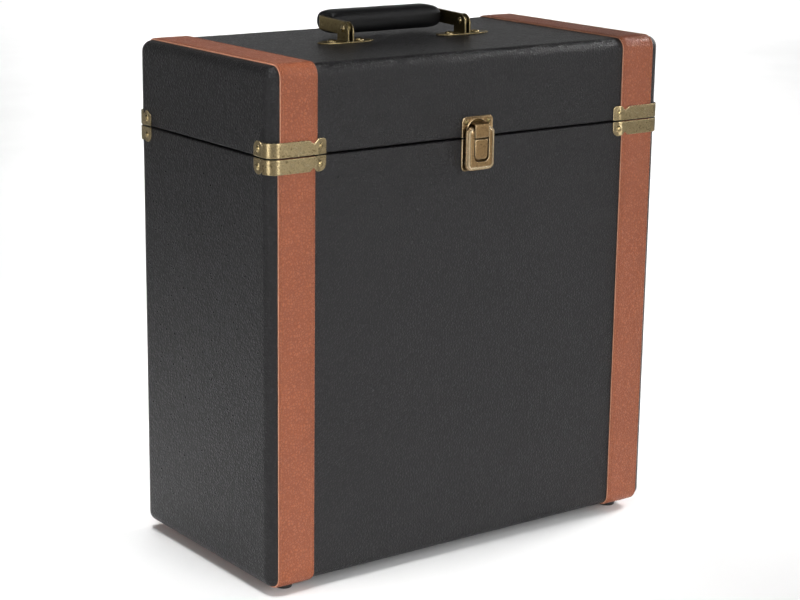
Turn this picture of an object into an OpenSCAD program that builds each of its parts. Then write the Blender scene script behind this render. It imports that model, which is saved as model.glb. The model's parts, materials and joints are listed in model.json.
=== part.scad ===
// Record carrying case: a covered board box with a hinged lid, a draw latch,
// a folding carrying handle, corner brackets, wrapped trim straps and rubber feet.
// Millimetres. +Z up, X to the right, the latch side faces -Y.
// Origin: on the surface the case stands on, in the middle of the footprint.

/* [Case] */
// Outside width of the case
case_w = 350; // [342:1:380]
// Outside depth of the case, front to back
case_d = 175; // [165:1:200]
// Height of the lower body, from its underside to the seam
body_h = 305.7; // [295:0.1:320]
// Height of the lid, from the seam to its top
lid_h = 61.3; // [50:0.1:80]
// Gap between the body rim and the lid rim
seam_gap = 0.8; // [0.6:0.1:1.2]
// Radius of the outer edges
edge_r = 8; // [8:0.5:10]

/* [Walls] */
// Thickness of the fibreboard walls
board_t = 7; // [6:0.5:8]
// Thickness of the grained covering
skin_t = 1; // [0.8:0.1:1.2]
// Thickness of the cloth lining
lining_t = 0.8; // [0.6:0.1:1]

/* [Trim straps] */
// Width of each wrapped strap
strap_w = 29.8; // [26:0.2:31]
// Distance of a body strap's middle from the side of the case
strap_in = 21.7; // [20:0.1:22]
// Distance of a lid strap's middle from the side of the case
lid_strap_in = 23.4; // [20:0.1:23.6]
// Thickness of a strap
strap_t = 1.2; // [1:0.1:1.3]

/* [Corner brackets] */
// Thickness of the bracket sheet
brk_t = 0.8; // [0.6:0.1:1]
// Height of the bracket band
brk_h = 10.3; // [9:0.1:11]
// Radius of the bracket's round ears
ear_r = 5.55; // [5:0.05:5.6]
// Distance of the front ear's nail from the side of the case
nail_x = 40; // [39.5:0.5:44]
// Distance of the side ear's nail from the front of the case
nail_y = 12.6; // [12.2:0.1:14]
// Radius of a nail's domed head
nail_r = 2.6; // [2.2:0.1:3]

/* [Latch] */
// Width of the latch plates
plate_w = 27.5; // [27:0.1:29]
// Thickness of the latch plates
plate_t = 0.7; // [0.6:0.1:0.8]
// Width of the latch lever
lever_w = 25; // [24.5:0.1:25.4]
// Width of the lever's open window
window_w = 13; // [13:0.1:13.2]

/* [Handle] */
// Distance between the two handle pivots
handle_span = 106.4; // [96:0.2:120]
// Height of the handle pivots above the lid
pivot_h = 9.9; // [9.4:0.1:12]
// Distance from the pivots to the middle of the strap's cross part
handle_reach = 34; // [33:0.5:38]
// Angle of the handle above the lid at rest, held by friction
handle_tilt = 2; // [0:0.5:4]
// Thickness of the handle's flat metal strap
bar_t = 2.6; // [2.2:0.1:2.8]
// Width of the handle's flat metal strap
bar_w = 10; // [9:0.5:11]
// Height of the padded grip
grip_h = 17.7; // [16:0.1:18]
// Depth of the padded grip
grip_d = 23; // [20:0.5:24]
// Length of the padded grip
grip_w = 99.2; // [96:0.2:99.4]

/* [Rear hinges] */
// Distance of each hinge's middle from the centre line
hinge_x = 90; // [70:1:100]
// Length of each hinge
hinge_w = 40; // [34:1:50]
// Radius of the hinge knuckle
knuckle_r = 2.8; // [2.6:0.1:3]

/* [Feet] */
// Height of the rubber feet
foot_h = 4.8; // [4:0.1:8]
// Radius of the rubber feet
foot_r = 7; // [6:0.5:8]
// Distance of a foot's middle from the front or back
foot_in = 16; // [15:0.5:20]

/* [Hidden] */
$fn = 64;
e = 0.01;
zb = foot_h + strap_t;              // underside of the body
zs = zb + body_h;                   // the seam
zt = zs + lid_h;                    // top of the lid
z_rim = zs - seam_gap / 2;          // rim of the body
z_lrim = zs + seam_gap / 2;         // rim of the lid
wall = skin_t + board_t;
in_w = case_w - 2 * wall;           // inside of the boards
in_d = case_d - 2 * wall;
strap_x = case_w / 2 - strap_in;
lid_strap_x = case_w / 2 - lid_strap_in;
lift = strap_t + 0.05;              // brackets ride over the straps at the front and back
black = [0.2, 0.2, 0.21];
tan = [0.62, 0.36, 0.27];
antique = [0.6, 0.52, 0.34];

// --- helpers -------------------------------------------------------------
module rrect(w, d, r) {
    square([w - 2 * r, d], center = true);
    square([w, d - 2 * r], center = true);
    for (x = [-1, 1], y = [-1, 1]) translate([x * (w / 2 - r), y * (d / 2 - r)]) circle(r);
}
// upright outline whose lower (or upper) two corners are round
module half_round(w, h, r, up) {
    translate([-w / 2, up ? 0 : r]) square([w, h - r]);
    translate([-w / 2 + r, 0]) square([w - 2 * r, h]);
    for (x = [-1, 1]) translate([x * (w / 2 - r), up ? h - r : r]) circle(r);
}
// block with round upright edges and a round lower or upper rim
module rblock(w, d, z0, z1, r, up) {
    intersection() {
        translate([0, 0, z0]) linear_extrude(z1 - z0) rrect(w, d, r);
        translate([0, d / 2 + 1, z0]) rotate([90, 0, 0]) linear_extrude(d + 2) half_round(w, z1 - z0, r, up);
        translate([-w / 2 - 1, 0, z0]) rotate([90, 0, 90]) linear_extrude(w + 2) half_round(d, z1 - z0, r, up);
    }
}
module box(x0, x1, y0, y1, z0, z1) translate([x0, y0, z0]) cube([x1 - x0, y1 - y0, z1 - z0]);
module body_core() rblock(case_w - 2 * skin_t, case_d - 2 * skin_t, zb + skin_t, z_rim - skin_t, edge_r - skin_t, false);
module lid_core() rblock(case_w - 2 * skin_t, case_d - 2 * skin_t, z_lrim + skin_t, zt - skin_t, edge_r - skin_t, true);
// domed head standing on the plane z = 0, with a shank below it
module rivet(r, h, shank_r, shank) {
    s = (r * r + h * h) / (2 * h);
    intersection() {
        translate([0, 0, h - s]) sphere(s);
        cylinder(r = r, h = h + 1);
    }
    translate([0, 0, -shank]) cylinder(r = shank_r, h = shank + h * 0.4);
}
module to_front(x, o, h) translate([x, -case_d / 2 - o, zs + h]) rotate([90, 0, 0]) children();
module to_back(x, o, h) translate([x, case_d / 2 + o, zs + h]) rotate([-90, 0, 0]) children();
// outline drawn in x and height over the seam, standing out from the front
module on_front(o0, o1) translate([0, -case_d / 2 - o0, zs]) rotate([90, 0, 0]) linear_extrude(o1 - o0) children();
// outline drawn in minus the distance from the front and height over the seam, extruded across
module across(x0, x1) translate([x0, -case_d / 2, zs]) rotate([90, 0, 90]) linear_extrude(x1 - x0) children();
module across_rod(x0, x1, o, h, r) translate([x0, -case_d / 2 - o, zs + h]) rotate([0, 90, 0]) cylinder(r = r, h = x1 - x0);

// --- boards --------------------------------------------------------------
module body_front_board() color([0.55, 0.42, 0.3]) intersection() {
    body_core();
    box(-case_w, case_w, -case_d, -in_d / 2, 0, zt);
}
module body_back_board() color([0.55, 0.42, 0.3]) intersection() {
    body_core();
    box(-case_w, case_w, in_d / 2, case_d, 0, zt);
}
module body_left_board() color([0.55, 0.42, 0.3]) intersection() {
    body_core();
    box(-case_w, -in_w / 2, -in_d / 2, in_d / 2, 0, zt);
}
module body_right_board() color([0.55, 0.42, 0.3]) mirror([1, 0, 0]) intersection() {
    body_core();
    box(-case_w, -in_w / 2, -in_d / 2, in_d / 2, 0, zt);
}
module body_base_board() color([0.55, 0.42, 0.3])
    box(-in_w / 2, in_w / 2, -in_d / 2, in_d / 2, zb + skin_t, zb + wall);
module lid_front_board() color([0.55, 0.42, 0.3]) intersection() {
    lid_core();
    box(-case_w, case_w, -case_d, -in_d / 2, 0, zt);
}
module lid_back_board() color([0.55, 0.42, 0.3]) intersection() {
    lid_core();
    box(-case_w, case_w, in_d / 2, case_d, 0, zt);
}
module lid_left_board() color([0.55, 0.42, 0.3]) intersection() {
    lid_core();
    box(-case_w, -in_w / 2, -in_d / 2, in_d / 2, 0, zt);
}
module lid_right_board() color([0.55, 0.42, 0.3]) mirror([1, 0, 0]) intersection() {
    lid_core();
    box(-case_w, -in_w / 2, -in_d / 2, in_d / 2, 0, zt);
}
module lid_top_board() color([0.55, 0.42, 0.3])
    box(-in_w / 2, in_w / 2, -in_d / 2, in_d / 2, zt - wall, zt - skin_t);

// --- covering and lining ---------------------------------------------------
module body_cover() color(black) difference() {
    rblock(case_w, case_d, zb, z_rim, edge_r, false);
    body_core();
    box(-in_w / 2, in_w / 2, -in_d / 2, in_d / 2, z_rim - skin_t - 5, z_rim + 1);
}
module lid_cover() color(black) difference() {
    rblock(case_w, case_d, z_lrim, zt, edge_r, true);
    lid_core();
    box(-in_w / 2, in_w / 2, -in_d / 2, in_d / 2, z_lrim - 1, z_lrim + skin_t + 5);
}
module body_lining() color([0.16, 0.15, 0.16]) difference() {
    box(-in_w / 2, in_w / 2, -in_d / 2, in_d / 2, zb + wall, z_rim);
    box(-in_w / 2 + lining_t, in_w / 2 - lining_t, -in_d / 2 + lining_t, in_d / 2 - lining_t, zb + wall + lining_t, zs + 5);
}
module lid_lining() color([0.16, 0.15, 0.16]) difference() {
    box(-in_w / 2, in_w / 2, -in_d / 2, in_d / 2, z_lrim, zt - wall);
    box(-in_w / 2 + lining_t, in_w / 2 - lining_t, -in_d / 2 + lining_t, in_d / 2 - lining_t, zs - 5, zt - wall - lining_t);
}

// --- wrapped trim straps -----------------------------------------------------
module body_strap() intersection() {
    difference() {
        rblock(case_w + 2 * strap_t, case_d + 2 * strap_t, zb - strap_t, z_rim, edge_r + strap_t, false);
        rblock(case_w, case_d, zb, z_rim + 1, edge_r, false);
    }
    box(-strap_x - strap_w / 2, -strap_x + strap_w / 2, -case_d, case_d, 0, zt + 9);
}
module lid_strap() intersection() {
    difference() {
        rblock(case_w + 2 * strap_t, case_d + 2 * strap_t, z_lrim, zt + strap_t, edge_r + strap_t, true);
        rblock(case_w, case_d, z_lrim - 1, zt, edge_r, true);
    }
    box(-lid_strap_x - strap_w / 2, -lid_strap_x + strap_w / 2, -case_d, case_d, 0, zt + 9);
}
module body_strap_left() color(tan) body_strap();
module body_strap_right() color(tan) mirror([1, 0, 0]) body_strap();
module lid_strap_left() color(tan) lid_strap();
module lid_strap_right() color(tan) mirror([1, 0, 0]) lid_strap();

// --- corner brackets -----------------------------------------------------------
// outline of one arm: a band from a to the round ear whose middle is at b
module arm(a, b) {
    difference() {
        translate([a, 0.5]) square([b - ear_r - a, brk_h]);
        translate([b - ear_r, 0.5 + brk_h + 0.1]) circle(2.5);
    }
    translate([b, 0.5 + ear_r]) circle(ear_r);
    translate([b - ear_r - 1, 0.5]) square([ear_r + 1, ear_r]);
}
// bracket of the front left corner, wrapped round the upright edge
module bracket(up) translate([0, 0, zs]) mirror([0, 0, up ? 0 : 1]) {
    translate([0, -case_d / 2 - lift, 0]) rotate([90, 0, 0]) linear_extrude(brk_t)
        translate([-case_w / 2, 0]) arm(edge_r, nail_x);
    translate([-case_w / 2, -case_d / 2, 0]) rotate([90, 0, -90]) linear_extrude(brk_t)
        mirror([1, 0]) arm(edge_r - lift, nail_y);
    translate([-case_w / 2 + edge_r, -case_d / 2 - lift + edge_r, 0.5]) rotate([0, 0, 180])
        rotate_extrude(angle = 90) translate([edge_r, 0]) square([brk_t, brk_h]);
}
module all_corners() for (x = [0, 1], y = [0, 1]) mirror([x, 0, 0]) mirror([0, y, 0]) children();
module nails(up) {
    h = (0.5 + ear_r) * (up ? 1 : -1);
    to_front(-case_w / 2 + nail_x, lift + brk_t, h) rivet(nail_r, 1.3, 0.7, 7);
    translate([-case_w / 2 - brk_t, -case_d / 2 + nail_y, zs + h]) rotate([0, -90, 0]) rivet(nail_r, 1.3, 0.7, 6);
}
module body_corner_brackets() color(antique) all_corners() bracket(false);
module lid_corner_brackets() color(antique) all_corners() bracket(true);
module body_bracket_nails() color(antique) all_corners() nails(false);
module lid_bracket_nails() color(antique) all_corners() nails(true);

// --- latch -----------------------------------------------------------------------
p1 = [4.4, 5.8];                    // lever pin: distance from the front, height over the seam
p2 = [4.4, 2.0];                    // tongue pin
p3 = [4.4, -2.6];                   // thumb tab pin
pin_r = 0.6;
run = 0.05;
rim = 0.4;
module plate_outline(h0, h1, r, dx, up) {
    w = plate_w - 2 * dx;
    translate([0, up ? h0 : h0 + dx]) half_round(w, h1 - h0 - dx, r - dx, up);
}
module arch(r, top) {
    translate([0, top - r]) circle(r);
    translate([-r, -3]) square([2 * r, top - r + 3]);
}
// catch plate on the lid: raised rim and an arched opening for the hook
module latch_catch_plate() color(antique) {
    on_front(0, plate_t) difference() {
        plate_outline(0.5, 15.2, 3.5, 0, true);
        arch(8, 12);
    }
    on_front(plate_t, plate_t + rim) difference() {
        plate_outline(0.5, 15.2, 3.5, 0, true);
        plate_outline(0, 15.2, 3.5, 1.1, true);
    }
    on_front(plate_t, plate_t + rim) difference() {
        intersection() {
            arch(9, 13);
            translate([-15, 0.5]) square([30, 13]);
        }
        arch(8, 12);
    }
}
module latch_catch_rivets() color(antique) for (x = [-1, 1]) to_front(x * 9.9, plate_t, 11.2) rivet(1.8, 0.8, 0.8, 7);
// base plate on the body: raised rim and two ears that reach up to the lever pin
module latch_base_plate() color(antique) {
    on_front(0, plate_t) plate_outline(-23.7, -0.5, 3.5, 0, false);
    on_front(plate_t, plate_t + rim) difference() {
        plate_outline(-23.7, -0.5, 3.5, 0, false);
        plate_outline(-23.7, 1, 3.5, 1.1, false);
    }
    for (s = [-1, 1]) difference() {
        across(s * 9.8 - 0.4, s * 9.8 + 0.4) {
            polygon([[-0.7, -8], [-0.7, -1.2], [-1.7, -0.6], [-3.35, 5.4], [-4.4, 6.2], [-5.5, 5.6], [-4.6, -6]]);
            translate([-p1[0], p1[1]]) circle(1.15);
        }
        across_rod(-15, 15, p1[0], p1[1], pin_r);
    }
}
module latch_base_rivets() color(antique) for (x = [-1, 1]) to_front(x * 9, plate_t, -18) rivet(2, 0.8, 0.8, 7);
module latch_lever_pin() color(antique) across_rod(-lever_w / 2 + 0.1, lever_w / 2 - 0.1, p1[0], p1[1], pin_r);
// lever: bevelled pressed frame, open at the back and the top
module latch_lever() color(antique) {
    w = lever_w / 2;
    v = window_w / 2;
    difference() {
        intersection() {
            on_front(3.2, 6.4) difference() {
                translate([0, -23.2]) half_round(lever_w, 31.4, 2.6, false);
                for (s = [-1, 1]) translate([s * w, 8.2]) rotate(45) square(4.4, center = true);
            }
            translate([0, -case_d / 2, zs - 30]) mirror([0, 1, 0]) linear_extrude(50)
                polygon([[-w, 3.2], [-w, 4.6], [-w + 1.8, 6.4], [w - 1.8, 6.4], [w, 4.6], [w, 3.2]]);
            across(-w, w) polygon([[-3.2, -23.2], [-4.6, -23.2], [-6.4, -21.4], [-6.4, 6.6], [-5.2, 8.2], [-3.2, 8.2]]);
        }
        for (s = [-1, 1]) on_front(3, 5.7) translate([s * (v + w) / 2, 0])
            translate([-(w - v - 2) / 2, -22.2]) square([w - v - 2, 40]);
        on_front(3, 5.7) translate([-v, -22.2]) square([window_w, 40]);
        on_front(3, 7) translate([0, -16.7]) half_round(window_w, 30, 3.2, false);
        across_rod(-15, 15, p1[0], p1[1], pin_r + run);
        for (p = [p2, p3]) across_rod(-15, 15, p[0], p[1], pin_r);
    }
}
module latch_cross_pins() color(antique) for (p = [p2, p3])
    across_rod(-window_w / 2 - 1, window_w / 2 + 1, p[0], p[1], pin_r);
// tongue: turns on its pin and reaches over the lever pin to the catch plate
module latch_tongue() color(antique) difference() {
    union() {
        across(-window_w / 2 + 0.2, window_w / 2 - 0.2) {
            translate([-p2[0], p2[1]]) circle(1.3);
            polygon([[-4.4, 0.9], [-5.6, 0.9], [-5.6, 3.1], [-4.4, 3.1]]);
            polygon([[-5.4, 0.3], [-6.3, 0.3], [-6.65, 1.2], [-6.7, 3], [-6.7, 7], [-6.4, 8.6], [-5.6, 10.1], [-4.4, 10.8],
                [-1.5, 10.9], [-1.5, 9.8], [-4.2, 9.5], [-5, 8.9], [-5.4, 7.6]]);
        }
        across(-3.2, 3.2) polygon([[-0.35, 9.8], [-1.6, 9.8], [-1.6, 10.9], [-0.35, 10.9]]);
    }
    across_rod(-15, 15, p2[0], p2[1], pin_r + run);
}
// thumb tab: fills the lever's window and is pressed in at its lower end
module latch_thumb_tab() color(antique) difference() {
    union() {
        on_front(5.1, 6.1) translate([0, -15.5]) half_round(window_w - 0.7, 14.6, 3, false);
        across(-window_w / 2 + 0.35, window_w / 2 - 0.35) {
            translate([-p3[0], p3[1]]) circle(1.1);
            polygon([[-4.4, -3.6], [-5.3, -3.6], [-5.3, -1.6], [-4.4, -1.6]]);
        }
    }
    across_rod(-15, 15, p3[0], p3[1], pin_r + run);
}

// --- rear hinges ---------------------------------------------------------------------
knuckle_o = knuckle_r + 0.3;        // distance of the hinge axis behind the case
module knuckle(x0, x1) difference() {
    union() {
        translate([x0, case_d / 2 + knuckle_o, zs]) rotate([0, 90, 0]) cylinder(r = knuckle_r, h = x1 - x0);
        box(x0, x1, case_d / 2, case_d / 2 + knuckle_o, zs - 3.4, zs - 1.2);
    }
}
seg = (hinge_w - 0.8) / 3;
module leaf_plate() box(-hinge_w / 2, hinge_w / 2, case_d / 2, case_d / 2 + 1, zs - 19, zs - 3.3);
// lower leaf: two outer knuckles
module body_leaf() difference() {
    union() {
        leaf_plate();
        knuckle(-hinge_w / 2, -hinge_w / 2 + seg);
        knuckle(hinge_w / 2 - seg, hinge_w / 2);
    }
    translate([-hinge_w, case_d / 2 + knuckle_o, zs]) rotate([0, 90, 0]) cylinder(r = 1.2, h = 2 * hinge_w);
}
// upper leaf: one middle knuckle that turns on the pin
module lid_leaf() difference() {
    translate([0, 0, 2 * zs]) mirror([0, 0, 1]) union() {
        leaf_plate();
        knuckle(-seg / 2, seg / 2);
    }
    translate([-hinge_w, case_d / 2 + knuckle_o, zs]) rotate([0, 90, 0]) cylinder(r = 1.2 + run, h = 2 * hinge_w);
}
module both_hinges() for (s = [-1, 1]) translate([s * hinge_x, 0, 0]) children();
module body_hinge_leaves() color(antique) both_hinges() body_leaf();
module lid_hinge_leaves() color(antique) both_hinges() lid_leaf();
module body_hinge_rivets() color(antique) both_hinges() for (x = [-1, 1]) to_back(x * 12, 1, -12) rivet(2.2, 0.9, 0.9, 7);
module lid_hinge_rivets() color(antique) both_hinges() for (x = [-1, 1]) to_back(x * 12, 1, 12) rivet(2.2, 0.9, 0.9, 7);
module hinge_pins() color(antique) both_hinges()
    translate([-hinge_w / 2 - 0.5, case_d / 2 + knuckle_o, zs]) rotate([0, 90, 0]) cylinder(r = 1.2, h = hinge_w + 1);

// --- feet ---------------------------------------------------------------------------------
module at_feet() for (x = [-1, 1], y = [-1, 1]) translate([x * strap_x, y * (case_d / 2 - foot_in), 0]) children();
module rubber_feet() color([0.08, 0.08, 0.08]) at_feet() difference() {
    cylinder(r1 = foot_r - 0.9, r2 = foot_r, h = foot_h);
    translate([0, 0, -1]) cylinder(r = 3.2, h = 2.8);
    cylinder(r = 1.2, h = foot_h + 1);
}
module foot_screws() color([0.6, 0.6, 0.62]) at_feet() {
    translate([0, 0, 0.5]) cylinder(r1 = 2.4, r2 = 3, h = 1.3);
    translate([0, 0, 1]) cylinder(r = 1.2, h = zb + 6 - 1);
}

// --- handle -------------------------------------------------------------------------------
hx = handle_span / 2;
pz = zt + pivot_h;
module both_handles() for (s = [-1, 1]) translate([s * hx, 0, 0]) children();
module pivot_rod(x0, x1, r) translate([x0, 0, pz]) rotate([0, 90, 0]) cylinder(r = r, h = x1 - x0);
// bracket: long base plate with two upright ears, bored for the pivot
module handle_brackets() color(antique) both_handles() difference() {
    union() {
        translate([0, 0, zt]) linear_extrude(1)
            polygon([for (q = [[1, 1], [-1, 1], [-1, -1], [1, -1]])
                for (c = q[0] == q[1] ? plate_corner : [for (k = [len(plate_corner) - 1 : -1 : 0]) plate_corner[k]])
                    [q[0] * c[0], q[1] * c[1]]]);
        for (s = [-1, 1]) translate([s * 2.1 - 0.6, 0, zt]) rotate([90, 0, 90]) linear_extrude(1.2)
            polygon([[-7, 0], [7, 0], [7, 7.4], [6.3, 10], [4.9, 12.3], [2.7, 14.1], [0, 14.9],
                [-2.7, 14.1], [-4.9, 12.3], [-6.3, 10], [-7, 7.4]]);
    }
    pivot_rod(-6, 6, 1.5);
}
// a quarter of the base plate's outline
plate_corner = [[23.5, 1.2], [20.6, 4.4], [14, 6.8], [7, 7.6]];
module handle_bracket_rivets() color(antique) both_handles() for (s = [-1, 1])
    translate([s * 12, 0, zt + 1]) rivet(3.6, 1.7, 1, 7);
// pivot rivets: shank through both ears, domed heads outside
module handle_pivot_pins() color(antique) both_handles() {
    pivot_rod(-2.7, 2.7, 1.5);
    for (s = [0, 1]) mirror([s, 0, 0]) translate([2.7, 0, pz]) rotate([0, 90, 0]) rivet(2.5, 1.1, 1, 0.5);
}
bend = 4;
module leg() {
    translate([hx - bar_t / 2, 0, pz - bar_w / 2]) cube([bar_t, handle_reach + bar_t / 2 - bend, bar_w]);
    translate([hx - bar_t / 2, 0, pz]) rotate([0, 90, 0]) cylinder(r = bar_w / 2, h = bar_t);
    translate([hx + bar_t / 2 - bend, handle_reach + bar_t / 2 - bend, pz - bar_w / 2])
        rotate_extrude(angle = 90) translate([bend - bar_t, 0]) square([bar_t, bar_w]);
}
module strap_solid() {
    leg();
    mirror([1, 0, 0]) leg();
    translate([-hx - bar_t / 2 + bend, handle_reach - bar_t / 2, pz - bar_w / 2]) cube([2 * hx + bar_t - 2 * bend, bar_t, bar_w]);
}
module at_rest() translate([0, 0, pz]) rotate([handle_tilt, 0, 0]) translate([0, 0, -pz]) children();
// flat metal strap bent into a U, folded back over the lid
module handle_strap() color(antique) at_rest() difference() {
    strap_solid();
    pivot_rod(-case_w / 2, case_w / 2, 1.5 + run);
}
// padded grip round the strap's cross part, lower at both ends
module handle_grip() color([0.1, 0.1, 0.1]) at_rest() difference() {
    g = grip_w / 2;
    t = grip_h / 2;
    y = handle_reach - 1.4;         // the grip's middle
    intersection() {
        translate([0, 90, pz]) rotate([90, 0, 0]) linear_extrude(120)
            polygon([[-g, -6.2], [-g + 1.5, -7], [-g + 5, -8.2], [-g + 11.5, -t], [g - 11.5, -t], [g - 5, -8.2], [g - 1.5, -7], [g, -6.2],
                [g, 6.2], [g - 1.5, 7], [g - 5, 8.2], [g - 11.5, t], [-g + 11.5, t], [-g + 5, 8.2], [-g + 1.5, 7], [-g, 6.2]]);
        translate([0, y, pz - 20]) linear_extrude(40) rrect(2 * g, grip_d, 2);
        translate([-80, y, pz]) rotate([90, 0, 90]) linear_extrude(160) rrect(grip_d, grip_h, 6.4);
    }
    strap_solid();
}

body_front_board();
body_back_board();
body_left_board();
body_right_board();
body_base_board();
body_cover();
body_lining();
body_strap_left();
body_strap_right();
body_corner_brackets();
body_bracket_nails();
latch_base_plate();
latch_base_rivets();
latch_lever_pin();
body_hinge_leaves();
body_hinge_rivets();
hinge_pins();
rubber_feet();
foot_screws();
lid_top_board();
lid_front_board();
lid_back_board();
lid_left_board();
lid_right_board();
lid_cover();
lid_lining();
lid_strap_left();
lid_strap_right();
lid_corner_brackets();
lid_bracket_nails();
latch_catch_plate();
latch_catch_rivets();
lid_hinge_leaves();
lid_hinge_rivets();
handle_brackets();
handle_bracket_rivets();
handle_pivot_pins();
latch_lever();
latch_cross_pins();
latch_tongue();
latch_thumb_tab();
handle_strap();
handle_grip();
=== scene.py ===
import bpy, bmesh, json, math, random
import numpy as np
from mathutils import Vector, Matrix, noise

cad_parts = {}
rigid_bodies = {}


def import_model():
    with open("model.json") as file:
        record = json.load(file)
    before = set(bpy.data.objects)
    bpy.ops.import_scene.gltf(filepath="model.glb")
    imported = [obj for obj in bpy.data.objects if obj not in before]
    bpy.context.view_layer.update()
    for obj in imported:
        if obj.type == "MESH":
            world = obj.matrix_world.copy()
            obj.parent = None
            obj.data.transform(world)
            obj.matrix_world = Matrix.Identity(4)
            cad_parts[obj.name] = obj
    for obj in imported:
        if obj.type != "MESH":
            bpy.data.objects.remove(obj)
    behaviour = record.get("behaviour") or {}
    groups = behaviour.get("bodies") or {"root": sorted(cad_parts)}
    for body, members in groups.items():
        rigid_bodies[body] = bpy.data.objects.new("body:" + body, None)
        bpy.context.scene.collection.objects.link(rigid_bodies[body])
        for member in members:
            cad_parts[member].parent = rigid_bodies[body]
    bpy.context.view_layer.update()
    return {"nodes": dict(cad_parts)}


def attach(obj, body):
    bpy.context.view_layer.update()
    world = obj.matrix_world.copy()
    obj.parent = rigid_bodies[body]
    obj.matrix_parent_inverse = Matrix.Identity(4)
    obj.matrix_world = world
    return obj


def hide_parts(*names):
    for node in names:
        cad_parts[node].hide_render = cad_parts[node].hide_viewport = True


for _o in list(bpy.data.objects):
    bpy.data.objects.remove(_o, do_unlink=True)

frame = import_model()
MM = 0.001
random.seed(7)

# ---------------------------------------------------------------- sizes (mm)
W, D = 350.0, 175.0
ZB = 6.0                 # underside of the body
ZS = 311.7               # seam
ZT = 373.0               # top of the lid
GAP = 0.8
ZR = ZS - GAP / 2        # rim of the body
ZL = ZS + GAP / 2        # rim of the lid
ER = 8.0                 # outer edge radius
SX, LSX, SW, ST = 153.3, 151.6, 29.8, 1.2   # strap middle (body, lid), width, thickness
LIFT = 1.25
BT = 0.8
HX, PZ, REACH, BAR_T, BAR_W = 53.2, ZT + 9.9, 34.0, 2.6, 10.0
TILT = math.radians(2.0)

# ---------------------------------------------------------------- node helpers
class N:
    """short-hand for building a node tree"""
    def __init__(self, name):
        self.mat = bpy.data.materials.new(name)
        self.mat.use_nodes = True
        self.t = self.mat.node_tree
        self.t.nodes.clear()
        self.out = self.t.nodes.new("ShaderNodeOutputMaterial")
        self.b = self.t.nodes.new("ShaderNodeBsdfPrincipled")
        self.t.links.new(self.b.outputs[0], self.out.inputs[0])
        self.tc = self.t.nodes.new("ShaderNodeTexCoord")
    def node(self, kind, **kw):
        n = self.t.nodes.new(kind)
        for k, v in kw.items():
            setattr(n, k, v)
        return n
    def link(self, a, b):
        self.t.links.new(a, b)
    def put(self, sock, v):
        if hasattr(v, "is_linked") or isinstance(v, bpy.types.NodeSocket):
            self.link(v, sock)
        else:
            sock.default_value = v
    def mapping(self, scale=(1, 1, 1), rot=(0, 0, 0), loc=(0, 0, 0)):
        m = self.node("ShaderNodeMapping")
        m.inputs["Scale"].default_value = scale
        m.inputs["Rotation"].default_value = rot
        m.inputs["Location"].default_value = loc
        self.link(self.tc.outputs["Object"], m.inputs["Vector"])
        return m.outputs[0]
    def noise(self, scale, detail=3.0, rough=0.55, dist=0.0, vec=None):
        n = self.node("ShaderNodeTexNoise")
        n.inputs["Scale"].default_value = scale
        n.inputs["Detail"].default_value = detail
        n.inputs["Roughness"].default_value = rough
        n.inputs["Distortion"].default_value = dist
        self.link(vec if vec is not None else self.tc.outputs["Object"], n.inputs["Vector"])
        return n.outputs["Fac"]
    def voronoi(self, scale, feature="F1", vec=None, rand=1.0, out="Distance"):
        n = self.node("ShaderNodeTexVoronoi", feature=feature)
        n.inputs["Scale"].default_value = scale
        if "Randomness" in n.inputs:
            n.inputs["Randomness"].default_value = rand
        self.link(vec if vec is not None else self.tc.outputs["Object"], n.inputs["Vector"])
        return n.outputs[out]
    def math(self, op, a, b=0.0, c=0.0, clamp=False):
        n = self.node("ShaderNodeMath", operation=op, use_clamp=clamp)
        for s, v in zip(n.inputs, (a, b, c)):
            self.put(s, v)
        return n.outputs[0]
    def ramp(self, fac, stops, interp="LINEAR"):
        n = self.node("ShaderNodeValToRGB")
        n.color_ramp.interpolation = interp
        el = n.color_ramp.elements
        while len(el) > 1:
            el.remove(el[0])
        el[0].position, el[0].color = stops[0][0], stops[0][1]
        for p, c in stops[1:]:
            e = el.new(p)
            e.color = c
        self.put(n.inputs[0], fac)
        return n.outputs[0]
    def map(self, v, a, b, c, d, smooth=False):
        n = self.node("ShaderNodeMapRange", clamp=True)
        if smooth:
            n.interpolation_type = "SMOOTHSTEP"
        self.put(n.inputs[0], v)
        for i, x in enumerate((a, b, c, d)):
            n.inputs[i + 1].default_value = x
        return n.outputs[0]
    def mix(self, fac, a, b, mode="MIX"):
        n = self.node("ShaderNodeMix", data_type="RGBA", blend_type=mode)
        self.put(n.inputs[0], fac)
        self.put(n.inputs[6], a)
        self.put(n.inputs[7], b)
        return n.outputs[2]
    def bump(self, height, dist, strength=1.0, normal=None):
        n = self.node("ShaderNodeBump")
        n.inputs["Strength"].default_value = strength
        n.inputs["Distance"].default_value = dist
        self.link(height, n.inputs["Height"])
        if normal is not None:
            self.link(normal, n.inputs["Normal"])
        return n.outputs[0]
    def set(self, **kw):
        for k, v in kw.items():
            self.put(self.b.inputs[k.replace("_", " ")], v)
        return self.mat


def rgb(r, g, b):
    return (r, g, b, 1.0)


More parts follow.
